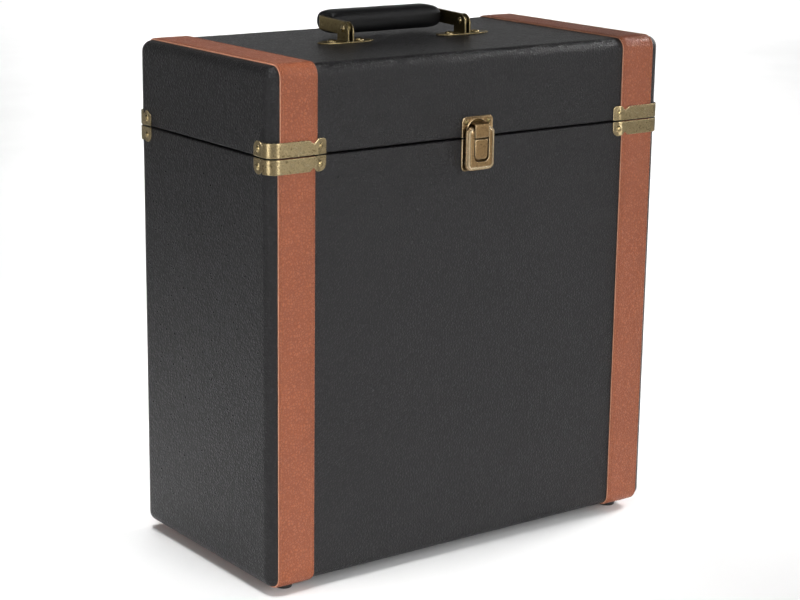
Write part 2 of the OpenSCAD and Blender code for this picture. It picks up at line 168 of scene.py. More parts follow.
def leatherette(name, dark, light, pebble=430.0, depth=0.0004, rough=(0.30, 0.5), spec=0.5, glint_speck=0.75):
    """pebbled grain: cells of a little over 2 mm, each with its own height, tone and polish, over a finer grain"""
    n = N(name)
    # bend the cells a little so that no row lines up
    wob = n.node("ShaderNodeTexNoise")
    wob.inputs["Scale"].default_value = 260
    wob.inputs["Detail"].default_value = 2
    n.link(n.tc.outputs["Object"], wob.inputs["Vector"])
    sub = n.node("ShaderNodeVectorMath", operation="SUBTRACT")
    n.link(wob.outputs["Color"], sub.inputs[0])
    sub.inputs[1].default_value = (0.5, 0.5, 0.5)
    mul = n.node("ShaderNodeVectorMath", operation="SCALE")
    n.link(sub.outputs[0], mul.inputs[0])
    mul.inputs["Scale"].default_value = 0.0016
    add = n.node("ShaderNodeVectorMath", operation="ADD")
    n.link(n.tc.outputs["Object"], add.inputs[0])
    n.link(mul.outputs[0], add.inputs[1])
    vec = add.outputs[0]
    edge = n.voronoi(pebble, "DISTANCE_TO_EDGE", vec)
    cell = n.voronoi(pebble, "F1", vec, out="Color")
    sep = n.node("ShaderNodeSeparateColor")
    n.link(cell, sep.inputs[0])
    own = sep.outputs[0]
    small = n.voronoi(pebble * 2.3, "DISTANCE_TO_EDGE", vec)
    pillow = n.map(edge, 0.0, 0.30, 0.0, 1.0, True)
    pillow2 = n.map(small, 0.0, 0.25, 0.0, 1.0, True)
    fine = n.noise(4200, 3, 0.6)
    h = n.math("MULTIPLY", pillow, n.math("MULTIPLY_ADD", own, 0.45, 0.45))
    h = n.math("ADD", h, n.math("MULTIPLY", pillow2, 0.20))
    h = n.math("ADD", h, n.math("MULTIPLY", fine, 0.12))
    wave = n.noise(16, 2, 0.5)
    nrm = n.bump(wave, 0.0012, 0.55)
    nrm = n.bump(h, depth, 1.0, nrm)
    # polished tops, dull crevices; the base colour is lighter on the pebble tops and darker in the crevices, partly
    # worn polish and partly painted glints on the tops and painted shade in the crevices
    top = n.math("MULTIPLY", pillow, n.math("MULTIPLY_ADD", own, glint_speck, 1.0 - glint_speck))
    tone = n.math("ADD", n.math("MULTIPLY", n.noise(60, 4, 0.6), 0.35), n.math("MULTIPLY", top, 0.65))
    col = n.mix(n.map(tone, 0.15, 0.75, 0.0, 1.0), dark, light)
    r = n.map(n.math("ADD", n.math("MULTIPLY", top, 0.7), n.math("MULTIPLY", n.noise(90, 3, 0.6), 0.4)), 0.1, 0.95, rough[1], rough[0])
    return n.set(Base_Color=col, Roughness=r, Normal=nrm, Specular_IOR_Level=spec)


def brass(name, deep, mid, bright, edge, rough=(0.24, 0.46), grime=0.5, edge_w=0.0006):
    n = N(name)
    a = n.noise(620, 5, 0.68, 0.5)
    b = n.noise(110, 3, 0.6)
    c = n.noise(1900, 3, 0.6)
    mottle = n.math("ADD", n.math("MULTIPLY", a, 0.58), n.math("ADD", n.math("MULTIPLY", b, 0.24), n.math("MULTIPLY", c, 0.18)))
    col = n.ramp(mottle, [(0.38, deep), (0.465, mid), (0.545, mid), (0.63, bright)])
    # worn edges: where the rounded normal leaves the surface's own
    bev = n.node("ShaderNodeBevel", samples=4)
    bev.inputs["Radius"].default_value = edge_w
    geo = n.node("ShaderNodeNewGeometry")
    dot = n.node("ShaderNodeVectorMath", operation="DOT_PRODUCT")
    n.link(bev.outputs[0], dot.inputs[0])
    n.link(geo.outputs["Normal"], dot.inputs[1])
    wear = n.map(n.math("SUBTRACT", 1.0, dot.outputs["Value"]), 0.005, 0.10, 0.0, 1.0, True)
    wear = n.math("MULTIPLY", wear, n.map(a, 0.3, 0.6, 0.45, 1.0))
    # grime settles in the inner corners
    ao = n.node("ShaderNodeAmbientOcclusion", samples=4, only_local=False)
    ao.inputs["Distance"].default_value = 0.003
    dirt = n.map(ao.outputs["AO"], 0.25, 0.85, grime, 0.0)
    col = n.mix(wear, col, edge)
    col = n.mix(dirt, col, rgb(0.05, 0.035, 0.014))
    r = n.math("ADD", n.map(mottle, 0.40, 0.62, rough[1], rough[0]), n.math("MULTIPLY", dirt, 0.25))
    r = n.math("SUBTRACT", r, n.math("MULTIPLY", wear, 0.08), clamp=True)
    nrm = n.bump(n.math("ADD", n.math("MULTIPLY", a, 0.6), n.math("MULTIPLY", c, 0.4)), 0.00022, 0.5)
    return n.set(Base_Color=col, Roughness=r, Metallic=1.0, Normal=nrm)


def make_materials():
    m = {}
    m["black"] = leatherette("black_grained_leatherette", rgb(0.0022, 0.0019, 0.0023), rgb(0.0098, 0.0090, 0.0104), pebble=430.0, depth=0.00034, rough=(0.26, 0.44), spec=0.33)
    m["brown"] = leatherette("brown_grained_leatherette", rgb(0.228, 0.054, 0.0165), rgb(0.350, 0.096, 0.034), pebble=470.0, depth=0.00032, rough=(0.28, 0.48), spec=0.45)
    # painted cut edges of the straps
    n = N("strap_painted_edge")
    t = n.noise(500, 3, 0.6)
    m["brown_edge"] = n.set(Base_Color=n.mix(n.map(t, 0.35, 0.65, 0, 1), rgb(0.50, 0.22, 0.13), rgb(0.62, 0.31, 0.20)),
                            Roughness=n.map(t, 0.3, 0.7, 0.42, 0.6), Normal=n.bump(t, 0.0002, 0.6), Specular_IOR_Level=0.5)
    # sewing thread
    def thread(name, a, b):
        n = N(name)
        w = n.node("ShaderNodeTexWave", wave_type="BANDS", bands_direction="DIAGONAL")
        w.inputs["Scale"].default_value = 700
        w.inputs["Distortion"].default_value = 1.0
        n.link(n.tc.outputs["Object"], w.inputs["Vector"])
        t = n.noise(900, 2, 0.5)
        return n.set(Base_Color=n.mix(n.map(t, 0.35, 0.65, 0, 1), a, b), Roughness=n.map(t, 0.3, 0.7, 0.55, 0.75),
                     Normal=n.bump(w.outputs["Fac"], 0.0002, 0.7), Specular_IOR_Level=0.4)
    m["thread"] = thread("strap_thread", rgb(0.24, 0.075, 0.032), rgb(0.40, 0.15, 0.075))
    m["black_thread"] = thread("grip_thread", rgb(0.012, 0.012, 0.013), rgb(0.03, 0.03, 0.031))
    m["brass"] = brass("antique_brass", rgb(0.115, 0.085, 0.038), rgb(0.345, 0.272, 0.148), rgb(0.50, 0.42, 0.255), rgb(0.56, 0.47, 0.30), rough=(0.20, 0.36))
    m["latch"] = brass("antique_brass_latch", rgb(0.13, 0.076, 0.032), rgb(0.32, 0.205, 0.095), rgb(0.44, 0.31, 0.155), rgb(0.84, 0.69, 0.46), rough=(0.22, 0.38), grime=1.0, edge_w=0.0009)
    # very dark brass for the arch of the catch plate: painted shade
    m["latch_dark"] = brass("antique_brass_hollow_painted_shade", rgb(0.045, 0.026, 0.010), rgb(0.13, 0.078, 0.030), rgb(0.20, 0.125, 0.05), rgb(0.30, 0.20, 0.10), rough=(0.3, 0.5), grime=0.9)
    m["nail"] = brass("antique_brass_nail", rgb(0.16, 0.115, 0.05), rgb(0.36, 0.28, 0.14), rgb(0.5, 0.41, 0.22), rgb(0.74, 0.64, 0.42), rough=(0.18, 0.34))
    m["handle_brass"] = brass("antique_brass_handle", rgb(0.075, 0.055, 0.02), rgb(0.17, 0.13, 0.055), rgb(0.28, 0.22, 0.10), rgb(0.62, 0.50, 0.30), rough=(0.26, 0.45), grime=0.8)
    # smooth grip leather
    n = N("smooth_grip_leather")
    e = n.voronoi(1500, "DISTANCE_TO_EDGE")
    wr = n.noise(70, 4, 0.6, 0.6, n.mapping((0.35, 1, 1)))
    t = n.noise(260, 4, 0.6)
    nrm = n.bump(wr, 0.0009, 0.5)
    nrm = n.bump(n.math("ADD", n.math("MULTIPLY", n.map(e, 0, 0.2, 0, 1, True), 0.7), n.math("MULTIPLY", t, 0.5)), 0.00005, 0.8, nrm)
    m["grip"] = n.set(Base_Color=n.mix(n.map(t, 0.3, 0.7, 0, 1), rgb(0.0035, 0.0035, 0.0038), rgb(0.006, 0.006, 0.0064)),
                      Roughness=n.map(n.math("ADD", n.math("MULTIPLY", t, 0.6), n.math("MULTIPLY", wr, 0.4)), 0.3, 0.7, 0.32, 0.46),
                      Normal=nrm, Specular_IOR_Level=0.22)
    # woven lining
    n = N("woven_lining")
    wa = n.node("ShaderNodeTexWave", wave_type="BANDS", bands_direction="X")
    wb = n.node("ShaderNodeTexWave", wave_type="BANDS", bands_direction="Z")
    wc = n.node("ShaderNodeTexWave", wave_type="BANDS", bands_direction="Y")
    for w in (wa, wb, wc):
        w.inputs["Scale"].default_value = 290
        w.inputs["Distortion"].default_value = 0.6
        n.link(n.tc.outputs["Object"], w.inputs["Vector"])
    weave = n.math("ADD", n.math("MULTIPLY", wa.outputs["Fac"], wb.outputs["Fac"]), n.math("MULTIPLY", wb.outputs["Fac"], wc.outputs["Fac"]))
    weave = n.math("ADD", weave, n.math("MULTIPLY", wa.outputs["Fac"], wc.outputs["Fac"]))
    t = n.noise(120, 4, 0.6)
    m["lining"] = n.set(Base_Color=n.mix(n.map(n.math("ADD", n.math("MULTIPLY", weave, 0.25), n.math("MULTIPLY", t, 0.6)), 0.25, 0.8, 0, 1), rgb(0.018, 0.018, 0.02), rgb(0.042, 0.041, 0.044)),
                        Roughness=n.map(t, 0.3, 0.7, 0.82, 0.95), Normal=n.bump(weave, 0.0002, 0.6), Specular_IOR_Level=0.25)
    m["lining"].node_tree.nodes["Principled BSDF"].inputs["Sheen Weight"].default_value = 0.25
    # fibreboard
    n = N("pressed_fibreboard")
    t = n.noise(180, 6, 0.7)
    f = n.noise(2200, 3, 0.6, 0.0, n.mapping((1, 1, 4)))
    m["board"] = n.set(Base_Color=n.mix(n.map(n.math("ADD", n.math("MULTIPLY", t, 0.5), n.math("MULTIPLY", f, 0.5)), 0.35, 0.65, 0, 1), rgb(0.25, 0.165, 0.095), rgb(0.40, 0.28, 0.175)),
                       Roughness=n.map(t, 0.3, 0.7, 0.7, 0.9), Normal=n.bump(f, 0.0002, 0.6))
    # rubber
    n = N("foot_rubber")
    t = n.noise(900, 4, 0.6)
    m["rubber"] = n.set(Base_Color=n.mix(n.map(t, 0.3, 0.7, 0, 1), rgb(0.012, 0.012, 0.012), rgb(0.028, 0.028, 0.029)),
                        Roughness=n.map(t, 0.3, 0.7, 0.55, 0.75), Normal=n.bump(t, 0.0002, 0.5))
    # zinc screws
    n = N("zinc_screw")
    t = n.noise(800, 4, 0.6)
    m["zinc"] = n.set(Base_Color=n.mix(n.map(t, 0.3, 0.7, 0, 1), rgb(0.33, 0.33, 0.35), rgb(0.52, 0.52, 0.54)),
                      Roughness=n.map(t, 0.3, 0.7, 0.28, 0.45), Metallic=1.0, Normal=n.bump(t, 0.0001, 0.5))
    # painted shade: a dark cross sheet stands in for the shaded recess of the screw drive
    n = N("drive_recess_painted_shade")
    t = n.noise(1200, 2, 0.5)
    m["dark"] = n.set(Base_Color=n.mix(n.map(t, 0.3, 0.7, 0, 1), rgb(0.02, 0.02, 0.02), rgb(0.05, 0.05, 0.05)),
                      Roughness=n.map(t, 0.3, 0.7, 0.5, 0.7), Metallic=0.6)
    return m


M = make_materials()

# ---------------------------------------------------------------- mesh helpers
def finish_mesh(me, angle=38.0):
    me.validate()
    for p in me.polygons:
        p.use_smooth = True
    me.set_sharp_from_angle(angle=math.radians(angle))


def make(name, verts, faces, mats, body, replaces=(), face_mat=None, angle=38.0, weighted=True):
    """verts in mm, in the row frame"""
    me = bpy.data.meshes.new(name)
    me.from_pydata([tuple(c * MM for c in v) for v in verts], [], faces)
    if not isinstance(mats, (list, tuple)):
        mats = [mats]
    for mt in mats:
        me.materials.append(mt)
    if face_mat is not None:
        for p, i in zip(me.polygons, face_mat):
            p.material_index = i
    bm = bmesh.new()
    bm.from_mesh(me)
    bmesh.ops.remove_doubles(bm, verts=bm.verts, dist=1e-7)
    bmesh.ops.recalc_face_normals(bm, faces=bm.faces)
    bm.to_mesh(me)
    bm.free()
    finish_mesh(me, angle)
    ob = bpy.data.objects.new(name, me)
    bpy.context.scene.collection.objects.link(ob)
    if weighted:
        w = ob.modifiers.new("even_normals", "WEIGHTED_NORMAL")
        w.keep_sharp = True
        w.weight = 80
    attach(ob, body)
    if replaces:
        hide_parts(*replaces)
    return ob


class Mesh:
    """collects several shells into one vertex and face list"""
    def __init__(self):
        self.v, self.f, self.m = [], [], []
    def add(self, verts, faces, mat=0, fn=None):
        b = len(self.v)
        self.v += [fn(p) if fn else tuple(p) for p in verts]
        self.f += [tuple(i + b for i in f) for f in faces]
        self.m += list(mat) if isinstance(mat, (list, tuple)) else [mat] * len(faces)
        return self
    def join(self, other, fn=None, mat=None):
        return self.add(other.v, other.f, other.m if mat is None else mat, fn)


def arc(cx, cy, r, a0, a1, n):
    return [(cx + r * math.cos(math.radians(a0 + (a1 - a0) * i / n)), cy + r * math.sin(math.radians(a0 + (a1 - a0) * i / n))) for i in range(n + 1)]


def rrect(hw, hh, r, n=6, cx=0.0, cy=0.0, rr=None):
    """rounded rectangle, anticlockwise; rr gives the four radii from the lower left on"""
    rs = rr or (r, r, r, r)
    out = []
    for (sx, sy, a), q in zip(((-1, -1, 180), (1, -1, 270), (1, 1, 0), (-1, 1, 90)), rs):
        q = max(q, 1e-3)
        out += arc(cx + sx * (hw - q), cy + sy * (hh - q), q, a, a + 90, n)
    return out


def area2(p):
    return sum(p[i][0] * p[(i + 1) % len(p)][1] - p[(i + 1) % len(p)][0] * p[i][1] for i in range(len(p)))


def inset_poly(p, d):
    """moves every edge of a closed anticlockwise outline inwards by d, or by d[i] for edge i"""
    n = len(p)
    ds = d if hasattr(d, "__len__") else [d] * n
    out = []
    for i in range(n):
        a, b, c = np.array(p[i - 1]), np.array(p[i]), np.array(p[(i + 1) % n])
        e0, e1 = b - a, c - b
        l0, l1 = np.linalg.norm(e0), np.linalg.norm(e1)
        e0, e1 = e0 / max(l0, 1e-9), e1 / max(l1, 1e-9)
        n0, n1 = np.array((-e0[1], e0[0])), np.array((-e1[1], e1[0]))
        d0, d1 = ds[i - 1], ds[i]
        cr = e0[0] * e1[1] - e0[1] * e1[0]
        if abs(cr) < 0.02:
            q = b + (n0 + n1) * 0.25 * (d0 + d1)
        else:
            A = np.array([n0, n1])
            q = np.linalg.solve(A, np.array([n0 @ b + d0, n1 @ b + d1]))
        out.append((float(q[0]), float(q[1])))
    return out


def plate(outline, profile, caps=(True, True)):
    """stacks inset copies of an outline: profile is [(inset, height), ...]. Returns a Mesh in (x, y, height)."""
    if area2(outline) < 0:
        outline = outline[::-1]
    m = Mesh()
    n = len(outline)
    rings = []
    for d, h in profile:
        q = outline if not hasattr(d, "__len__") and abs(d) < 1e-9 else inset_poly(outline, d)
        rings.append([(x, y, h) for x, y in q])
    v = [p for r in rings for p in r]
    f = []
    for k in range(len(rings) - 1):
        for i in range(n):
            j = (i + 1) % n
            f.append((k * n + i, k * n + j, (k + 1) * n + j, (k + 1) * n + i))
    if caps[0]:
        f.append(tuple(reversed(range(n))))
    if caps[1]:
        b = (len(rings) - 1) * n
        f.append(tuple(b + i for i in range(n)))
    return m.add(v, f)


def edge_profile(t, r, n=3, both=False, back=0.0):
    """plate edge: round (radius r) at the front, and at the back if both"""
    out = []
    if both:
        out += [(r - r * math.sin(math.radians(90 * i / n)), back + r - r * math.cos(math.radians(90 * i / n))) for i in range(n + 1)]
    else:
        out += [(0.0, back)]
    out += [(r - r * math.cos(math.radians(90 * i / n)), t - r + r * math.sin(math.radians(90 * i / n))) for i in range(n + 1)]
    return out


def lathe(profile, n=32, cap=(False, False)):
    """turns [(radius, height), ...] about the local z axis"""
    m = Mesh()
    v, f = [], []
    rows = []
    for r, h in profile:
        if r < 1e-6:
            rows.append([len(v)])
            v.append((0, 0, h))
        else:
            rows.append(list(range(len(v), len(v) + n)))
            v += [(r * math.cos(2 * math.pi * i / n), r * math.sin(2 * math.pi * i / n), h) for i in range(n)]
    for a, b in zip(rows, rows[1:]):
        for i in range(n):
            j = (i + 1) % n
            if len(a) == 1 and len(b) == 1:
                continue
            if len(a) == 1:
                f.append((a[0], b[j], b[i]))
            elif len(b) == 1:
                f.append((a[i], a[j], b[0]))
            else:
                f.append((a[i], a[j], b[j], b[i]))
    if cap[0] and len(rows[0]) > 1:
        f.append(tuple(reversed(rows[0])))
    if cap[1] and len(rows[-1]) > 1:
        f.append(tuple(rows[-1]))
    return m.add(v, f)


def dome(r, h, flange=0.0, n=28):
    """domed head with a small rolled rim, standing on height 0"""
    s = (r * r + h * h) / (2 * h)
    a = math.asin(min(1, r / s))
    k = 9
    prof = [(r * 0.96, -0.25), (r, 0.0), (r * 1.0, 0.12)]
    for i in range(1, k + 1):
        t = a * (1 - i / k)
        prof.append((s * math.sin(t), h - s + s * math.cos(t) + (0.12 if i < 2 else 0.0)))
    prof[-1] = (0.0, h)
    return lathe(prof, n)


# placement of local (x, y, height) shells on the case
def on_front(dx=0.0, dz=0.0, o=0.0):
    return lambda p: (p[0] + dx, -D / 2 - o - p[2], ZS + dz + p[1])


def on_back(dx=0.0, dz=0.0, o=0.0):
    return lambda p: (dx - p[0], D / 2 + o + p[2], ZS + dz + p[1])


def loft_rings(rings, closed=True, cap0=False, cap1=False):
    m = Mesh()
    n = len(rings[0])
    v = [p for r in rings for p in r]
    f = []
    for k in range(len(rings) - 1):
        for i in range(n if closed else n - 1):
            j = (i + 1) % n
            f.append((k * n + i, k * n + j, (k + 1) * n + j, (k + 1) * n + i))
    if cap0:
        f.append(tuple(reversed(range(n))))
    if cap1:
        b = (len(rings) - 1) * n
        f.append(tuple(b + i for i in range(n)))
    return m.add(v, f)


# ---------------------------------------------------------------- covering
def shell(z_edge, z_rim, up, turn_in=16.0, lip=1.7):
    """covering of one half: z_edge is the closed end (bottom or top), z_rim the open rim"""
    s = 1 if up else -1       # direction from the rim to the closed end
    rings = []
    def ring(ins, z):
        r = max(ER - ins, 0.6)
        return [(x, y, z) for x, y in rrect(W / 2 - ins, D / 2 - ins, r, 8)]
    n = 8
    for i in range(n + 1):
        a = math.radians(90 * i / n)
        rings.append(ring(ER - ER * math.sin(a), z_edge - s * (ER - ER * math.cos(a))))
    # long upright wall in a few courses
    z_low, z_high = z_edge - s * ER, z_rim + s * lip
    for k in range(1, 8):
        rings.append(ring(0.0, z_low + (z_high - z_low) * k / 8))
    for i in range(5):
        a = math.radians(90 * i / 4)
        rings.append(ring(lip - lip * math.cos(a), z_rim + s * (lip - lip * math.sin(a))))
    inner = 8.0
    rings.append(ring(inner - 0.9, z_rim))
    for i in range(1, 4):
        a = math.radians(90 * i / 3)
        rings.append(ring(inner - 0.9 + 0.9 * math.sin(a), z_rim + s * (0.9 - 0.9 * math.cos(a))))
    rings.append(ring(inner + 0.02, z_rim + s * turn_in))
    return loft_rings(rings, True, True, False)


sh = shell(ZB, ZR, False)
make("body_covering", sh.v, sh.f, M["black"], "case", ["body_cover"])
sh = shell(ZT, ZL, True)
make("lid_covering", sh.v, sh.f, M["black"], "lid", ["lid_cover"])


def lining(z_floor, z_top, up):
    s = 1 if up else -1
    rings = []
    def ring(ins, z, r):
        return [(x, y, z) for x, y in rrect(W / 2 - ins, D / 2 - ins, r, 4)]
    z_edge = z_top + s * 13.0
    rings.append(ring(8.03, z_edge + s * 2, 1.2))
    rings.append(ring(8.1, z_edge + s * 0.1, 1.2))
    rings.append(ring(8.45, z_edge, 1.3))
    rings.append(ring(8.72, z_edge + s * 0.25, 1.5))
    rings.append(ring(8.8, z_edge + s * 0.9, 1.6))
    for k in range(1, 6):
        rings.append(ring(8.8, z_edge + s * 0.9 + (z_floor - s * 2.2 - z_edge - s * 0.9) * k / 6, 1.6))
    for i in range(5):
        a = math.radians(90 * i / 4)
        rings.append(ring(8.8 + 2.2 * (1 - math.cos(a)), z_floor - s * 2.2 * (1 - math.sin(a)), 1.6 + 0.8 * (1 - math.cos(a))))
    return loft_rings(rings, True, False, True)


ln = lining(ZB + 8.8, ZR, False)
make("body_cloth_lining", ln.v, ln.f, M["lining"], "case", ["body_lining"], angle=50)
ln = lining(ZT - 8.8, ZL, True)
make("lid_cloth_lining", ln.v, ln.f, M["lining"], "lid", ["lid_lining"], angle=50)

def board_box(z_edge, z_rim, up):
    """the glued fibreboard box between covering and lining"""
    s = 1 if up else -1
    def ring(ins, z, r):
        return [(x, y, z) for x, y in rrect(W / 2 - ins, D / 2 - ins, max(r, 0.4), 8)]
    q = ER - 1.1
    rings = []
    for i in range(9):
        a = math.radians(90 * i / 8)
        rings.append(ring(1.1 + q - q * math.sin(a), z_edge - s * (1.1 + q - q * math.cos(a)), q * math.sin(a)))
    z0, z1 = z_edge - s * ER, z_rim + s * 2.4
    for k in range(1, 7):
        rings.append(ring(1.1, z0 + (z1 - z0) * k / 6, q))
    rings.append(ring(1.5, z_rim + s * 1.9, q - 0.4))
    rings.append(ring(7.5, z_rim + s * 1.9, 1.0))
    rings.append(ring(7.95, z_rim + s * 2.4, 0.8))
    z2 = z_edge - s * 7.95
    for k in range(1, 7):
        rings.append(ring(7.95, z1 + (z2 - z1) * k / 6, 0.8))
    return loft_rings(rings, True, True, True)


bb = board_box(ZB, ZR, False)
make("body_board_box", bb.v, bb.f, M["board"], "case", ["body_front_board", "body_back_board", "body_left_board", "body_right_board", "body_base_board"])
bb = board_box(ZT, ZL, True)
make("lid_board_box", bb.v, bb.f, M["board"], "lid", ["lid_top_board", "lid_front_board", "lid_back_board", "lid_left_board", "lid_right_board"])

# ---------------------------------------------------------------- wrapped straps
def strap_path(z_edge, z_rim, s):
    """centre line on the case surface from the front rim round the closed end to the back rim: (y, z, ny, nz)"""
    pts = []
    def seg(p0, p1, nrm, step=9.0):
        L = math.hypot(p1[0] - p0[0], p1[1] - p0[1])
        k = max(1, int(L / step))
        for i in range(k):
            t = i / k
            pts.append((p0[0] + (p1[0] - p0[0]) * t, p0[1] + (p1[1] - p0[1]) * t, nrm[0], nrm[1]))
    yf = -D / 2
    seg((yf, z_rim + s * 0.05), (yf, z_edge - s * ER), (-1, 0))
    for i in range(10):
        a = math.radians(90 * i / 10)
        ny, nz = -math.cos(a), s * math.sin(a)
        pts.append((yf + ER + ny * ER, z_edge - s * ER + nz * ER, ny, nz))
    seg((yf + ER, z_edge), (-yf - ER, z_edge), (0, s))
    for i in range(10):
        a = math.radians(90 * i / 10)
        ny, nz = math.sin(a), s * math.cos(a)
        pts.append((-yf - ER + ny * ER, z_edge - s * ER + nz * ER, ny, nz))
    seg((-yf, z_edge - s * ER), (-yf, z_rim + s * 0.05), (1, 0))
    pts.append((-yf, z_rim + s * 0.05, 1, 0))
    return pts


STITCH_IN = 2.3


def strap_section():
    """half-round edges, a sewn groove near each edge and a slight crown: (x, o, material) from one edge to the other"""
    w, t = SW / 2, ST
    half = [(w - 0.05, -0.02), (w, 0.18), (w, 0.5), (w - 0.06, 0.78), (w - 0.22, 0.98), (w - 0.5, 1.1), (w - 1.0, 1.18),
            (w - 1.7, 1.17), (w - STITCH_IN + 0.25, 1.02), (w - STITCH_IN, 0.94), (w - STITCH_IN - 0.25, 1.02), (w - 3.0, 1.18),
            (w - 4.2, 1.26), (w - 7.5, 1.32), (0.0, 1.34)]
    left = [(-x, o) for x, o in half]
    right = half[:-1][::-1]
    return left + right


def strap(name, xc, z_edge, z_rim, s, body, replaced):
    path = strap_path(z_edge, z_rim, s)
    sec = strap_section()
    rings, n = [], len(sec)
    # ends rolled in a little at the seam
    for k, (y, z, ny, nz) in enumerate(path):
        f = 1.0
        ends = []
        if k == 0 or k == len(path) - 1:
            ends = [(0.0, 0.30), (0.25, 0.72), (0.6, 0.92), (1.2, 1.0)]
            if k:
                ends = ends[::-1]
            for d, f in ends:
                rings.append([(xc + x, y + ny * o * f, z + s * d + nz * o * f) for x, o in sec])
            continue
        rings.append([(xc + x, y + ny * o, z + nz * o) for x, o in sec])
    m = loft_rings(rings, False)
    k = len(rings)
    # under side and the two end caps
    faces = list(m.f)
    mats = []
    for r in range(k - 1):
        for i in range(n - 1):
            mats.append(1 if (i < 4 or i >= n - 5) else 0)
    for r in range(k - 1):
        faces.append((r * n + n - 1, r * n, (r + 1) * n, (r + 1) * n + n - 1))
        mats.append(0)
    faces.append(tuple(range(n)))
    faces.append(tuple((k - 1) * n + i for i in reversed(range(n))))
    mats += [1, 1]
    ob = make(name, m.v, faces, [M["brown"], M["brown_edge"]], body, replaced, mats, angle=60)
    # sewing: one thread segment per stitch, sunk at both ends
    acc, cum = 0.0, [0.0]
    for a, b in zip(path, path[1:]):
        acc += math.hypot(b[0] - a[0], b[1] - a[1])
        cum.append(acc)
    def at(q):
        q = min(max(q, 0.0), acc - 1e-6)
        i = int(np.searchsorted(cum, q, side="right") - 1)
        i = min(i, len(path) - 2)
        t = (q - cum[i]) / max(cum[i + 1] - cum[i], 1e-9)
        a, b = path[i], path[i + 1]
        ny, nz = a[2] + (b[2] - a[2]) * t, a[3] + (b[3] - a[3]) * t
        l = math.hypot(ny, nz)
        return a[0] + (b[0] - a[0]) * t, a[1] + (b[1] - a[1]) * t, ny / l, nz / l
    th = Mesh()
    rnd = random.Random(name)
    pitch, length = 3.3, 2.7
    count = int((acc - 3.0) / pitch)
    start = (acc - count * pitch) / 2
    for side in (-1, 1):
        x0 = xc + side * (SW / 2 - STITCH_IN)
        for c in range(count):
            q0 = start + c * pitch + (pitch - length) / 2
            tilt = 0.10 + rnd.uniform(-0.05, 0.05)
            rings = []
            for u, rad, drop in ((0.0, 0.10, -0.30), (0.10, 0.24, -0.10), (0.3, 0.30, 0.03), (0.7, 0.30, 0.03), (0.9, 0.24, -0.10), (1.0, 0.10, -0.30)):
                y, z, ny, nz = at(q0 + u * length)
                o = 0.98 + 0.14 + drop
                x = x0 + (u - 0.5) * tilt * 2
                rings.append([(x + rad * math.cos(a), y + ny * (o + rad * 0.8 * math.sin(a)), z + nz * (o + rad * 0.8 * math.sin(a)))
                              for a in [math.pi * 2 * i / 6 for i in range(6)]])
            r = loft_rings(rings, True, True, True)
            th.join(r)
    make(name + "_stitching", th.v, th.f, M["thread"], body, angle=70, weighted=False)
    return ob


strap("body_strap_left_wrap", -SX, ZB, ZR, -1, "case", ["body_strap_left"])
strap("body_strap_right_wrap", SX, ZB, ZR, -1, "case", ["body_strap_right"])
strap("lid_strap_left_wrap", -LSX, ZT, ZL, 1, "lid", ["lid_strap_left"])
strap("lid_strap_right_wrap", LSX, ZT, ZL, 1, "lid", ["lid_strap_right"])

# ---------------------------------------------------------------- corner brackets
U_CORNER = math.pi / 2 * ER          # length of the arc round the upright edge
FRONT_NAIL, SIDE_NAIL, EAR = 40.0, 12.6, 5.5


def bracket_outline(upper, front=True):
    """unrolled outline, u = 0 where the corner arc meets the front face (front arm towards +u), v = height from the seam"""
    v0 = 0.5
    f = FRONT_NAIL - ER                 # nail on the front arm
    g = -U_CORNER - (SIDE_NAIL - (ER - LIFT))   # nail on the side arm
    top = 10.8
    p = [(g - EAR + 0.6, v0), (f + EAR - 0.6, v0)]
    p += arc(f + EAR - 0.6, v0 + 0.6, 0.6, 270, 360, 3)[1:]
    if upper:
        p += [(f + EAR, 6.0)]
        p += arc(f + EAR - 2.5, 8.8, 2.5, 0, 88, 6)
        p += [(f - 0.9, 11.5)]
        p += arc(f - 1.3, 10.9, 0.6, 90, 140, 2)
        p += [(f - 5.2, 7.95)]
        p += [(f - 8.2, 10.1)]
        p += arc(f - 9.6, 9.2, 1.6, 50, 88, 3)
    else:
        p += arc(f, v0 + EAR, EAR, 0, 138, 12)[1:]
        p += [(f - 5.2, 8.2), (f - 7.4, 9.9)]
        p += arc(f - 8.8, 9.2, 1.6, 40, 88, 3)
    p += [(8.0, top), (2.0, top), (-U_CORNER - 0.5, top)]
    if upper and not front:
        p += [(g + 5.4, 8.3)]
        p += [(g + 3.6, 9.6), (g + 1.6, 11.4)]
        p += arc(g + 0.2, 10.7, 1.0, 70, 130, 3)
        p += [(g - EAR + 1.6, 9.2)]
        p += arc(g - EAR + 1.5, 7.7, 1.5, 130, 180, 3)
    else:
        p += [(g + 5.2, 8.4)]
        p += arc(g, v0 + EAR, EAR, 42, 180, 12)
    p += arc(g - EAR + 0.6, v0 + 0.6, 0.6, 180, 270, 3)[:-1]
    out = [p[0]]
    for q in p[1:]:
        if math.hypot(q[0] - out[-1][0], q[1] - out[-1][1]) > 0.05:
            out.append(q)
    return out


def wrap_point(u, w, sx=SX):
    """unrolled (u, distance from the surface) to (x, y) at the front left corner"""
    # the front arm rides over the strap and its ear is pressed down past the strap's edge
    edge = sx - SW / 2                    # inner edge of the strap, from the centre line
    x = -W / 2 + ER + u
    down = 0.0
    if u > 0:
        t = (x + edge - 0.4) / 3.4
        t = min(max(t, 0), 1)
        down = (LIFT - 0.12) * t * t * (3 - 2 * t)
        return x, -D / 2 - LIFT - w + down
    if u > -U_CORNER:
        a = -u / ER
        cx, cy = -W / 2 + ER, -D / 2 - LIFT + ER
        return cx - math.sin(a) * (ER + w), cy - math.cos(a) * (ER + w)
    return -W / 2 - w, -D / 2 - LIFT + ER + (-u - U_CORNER)


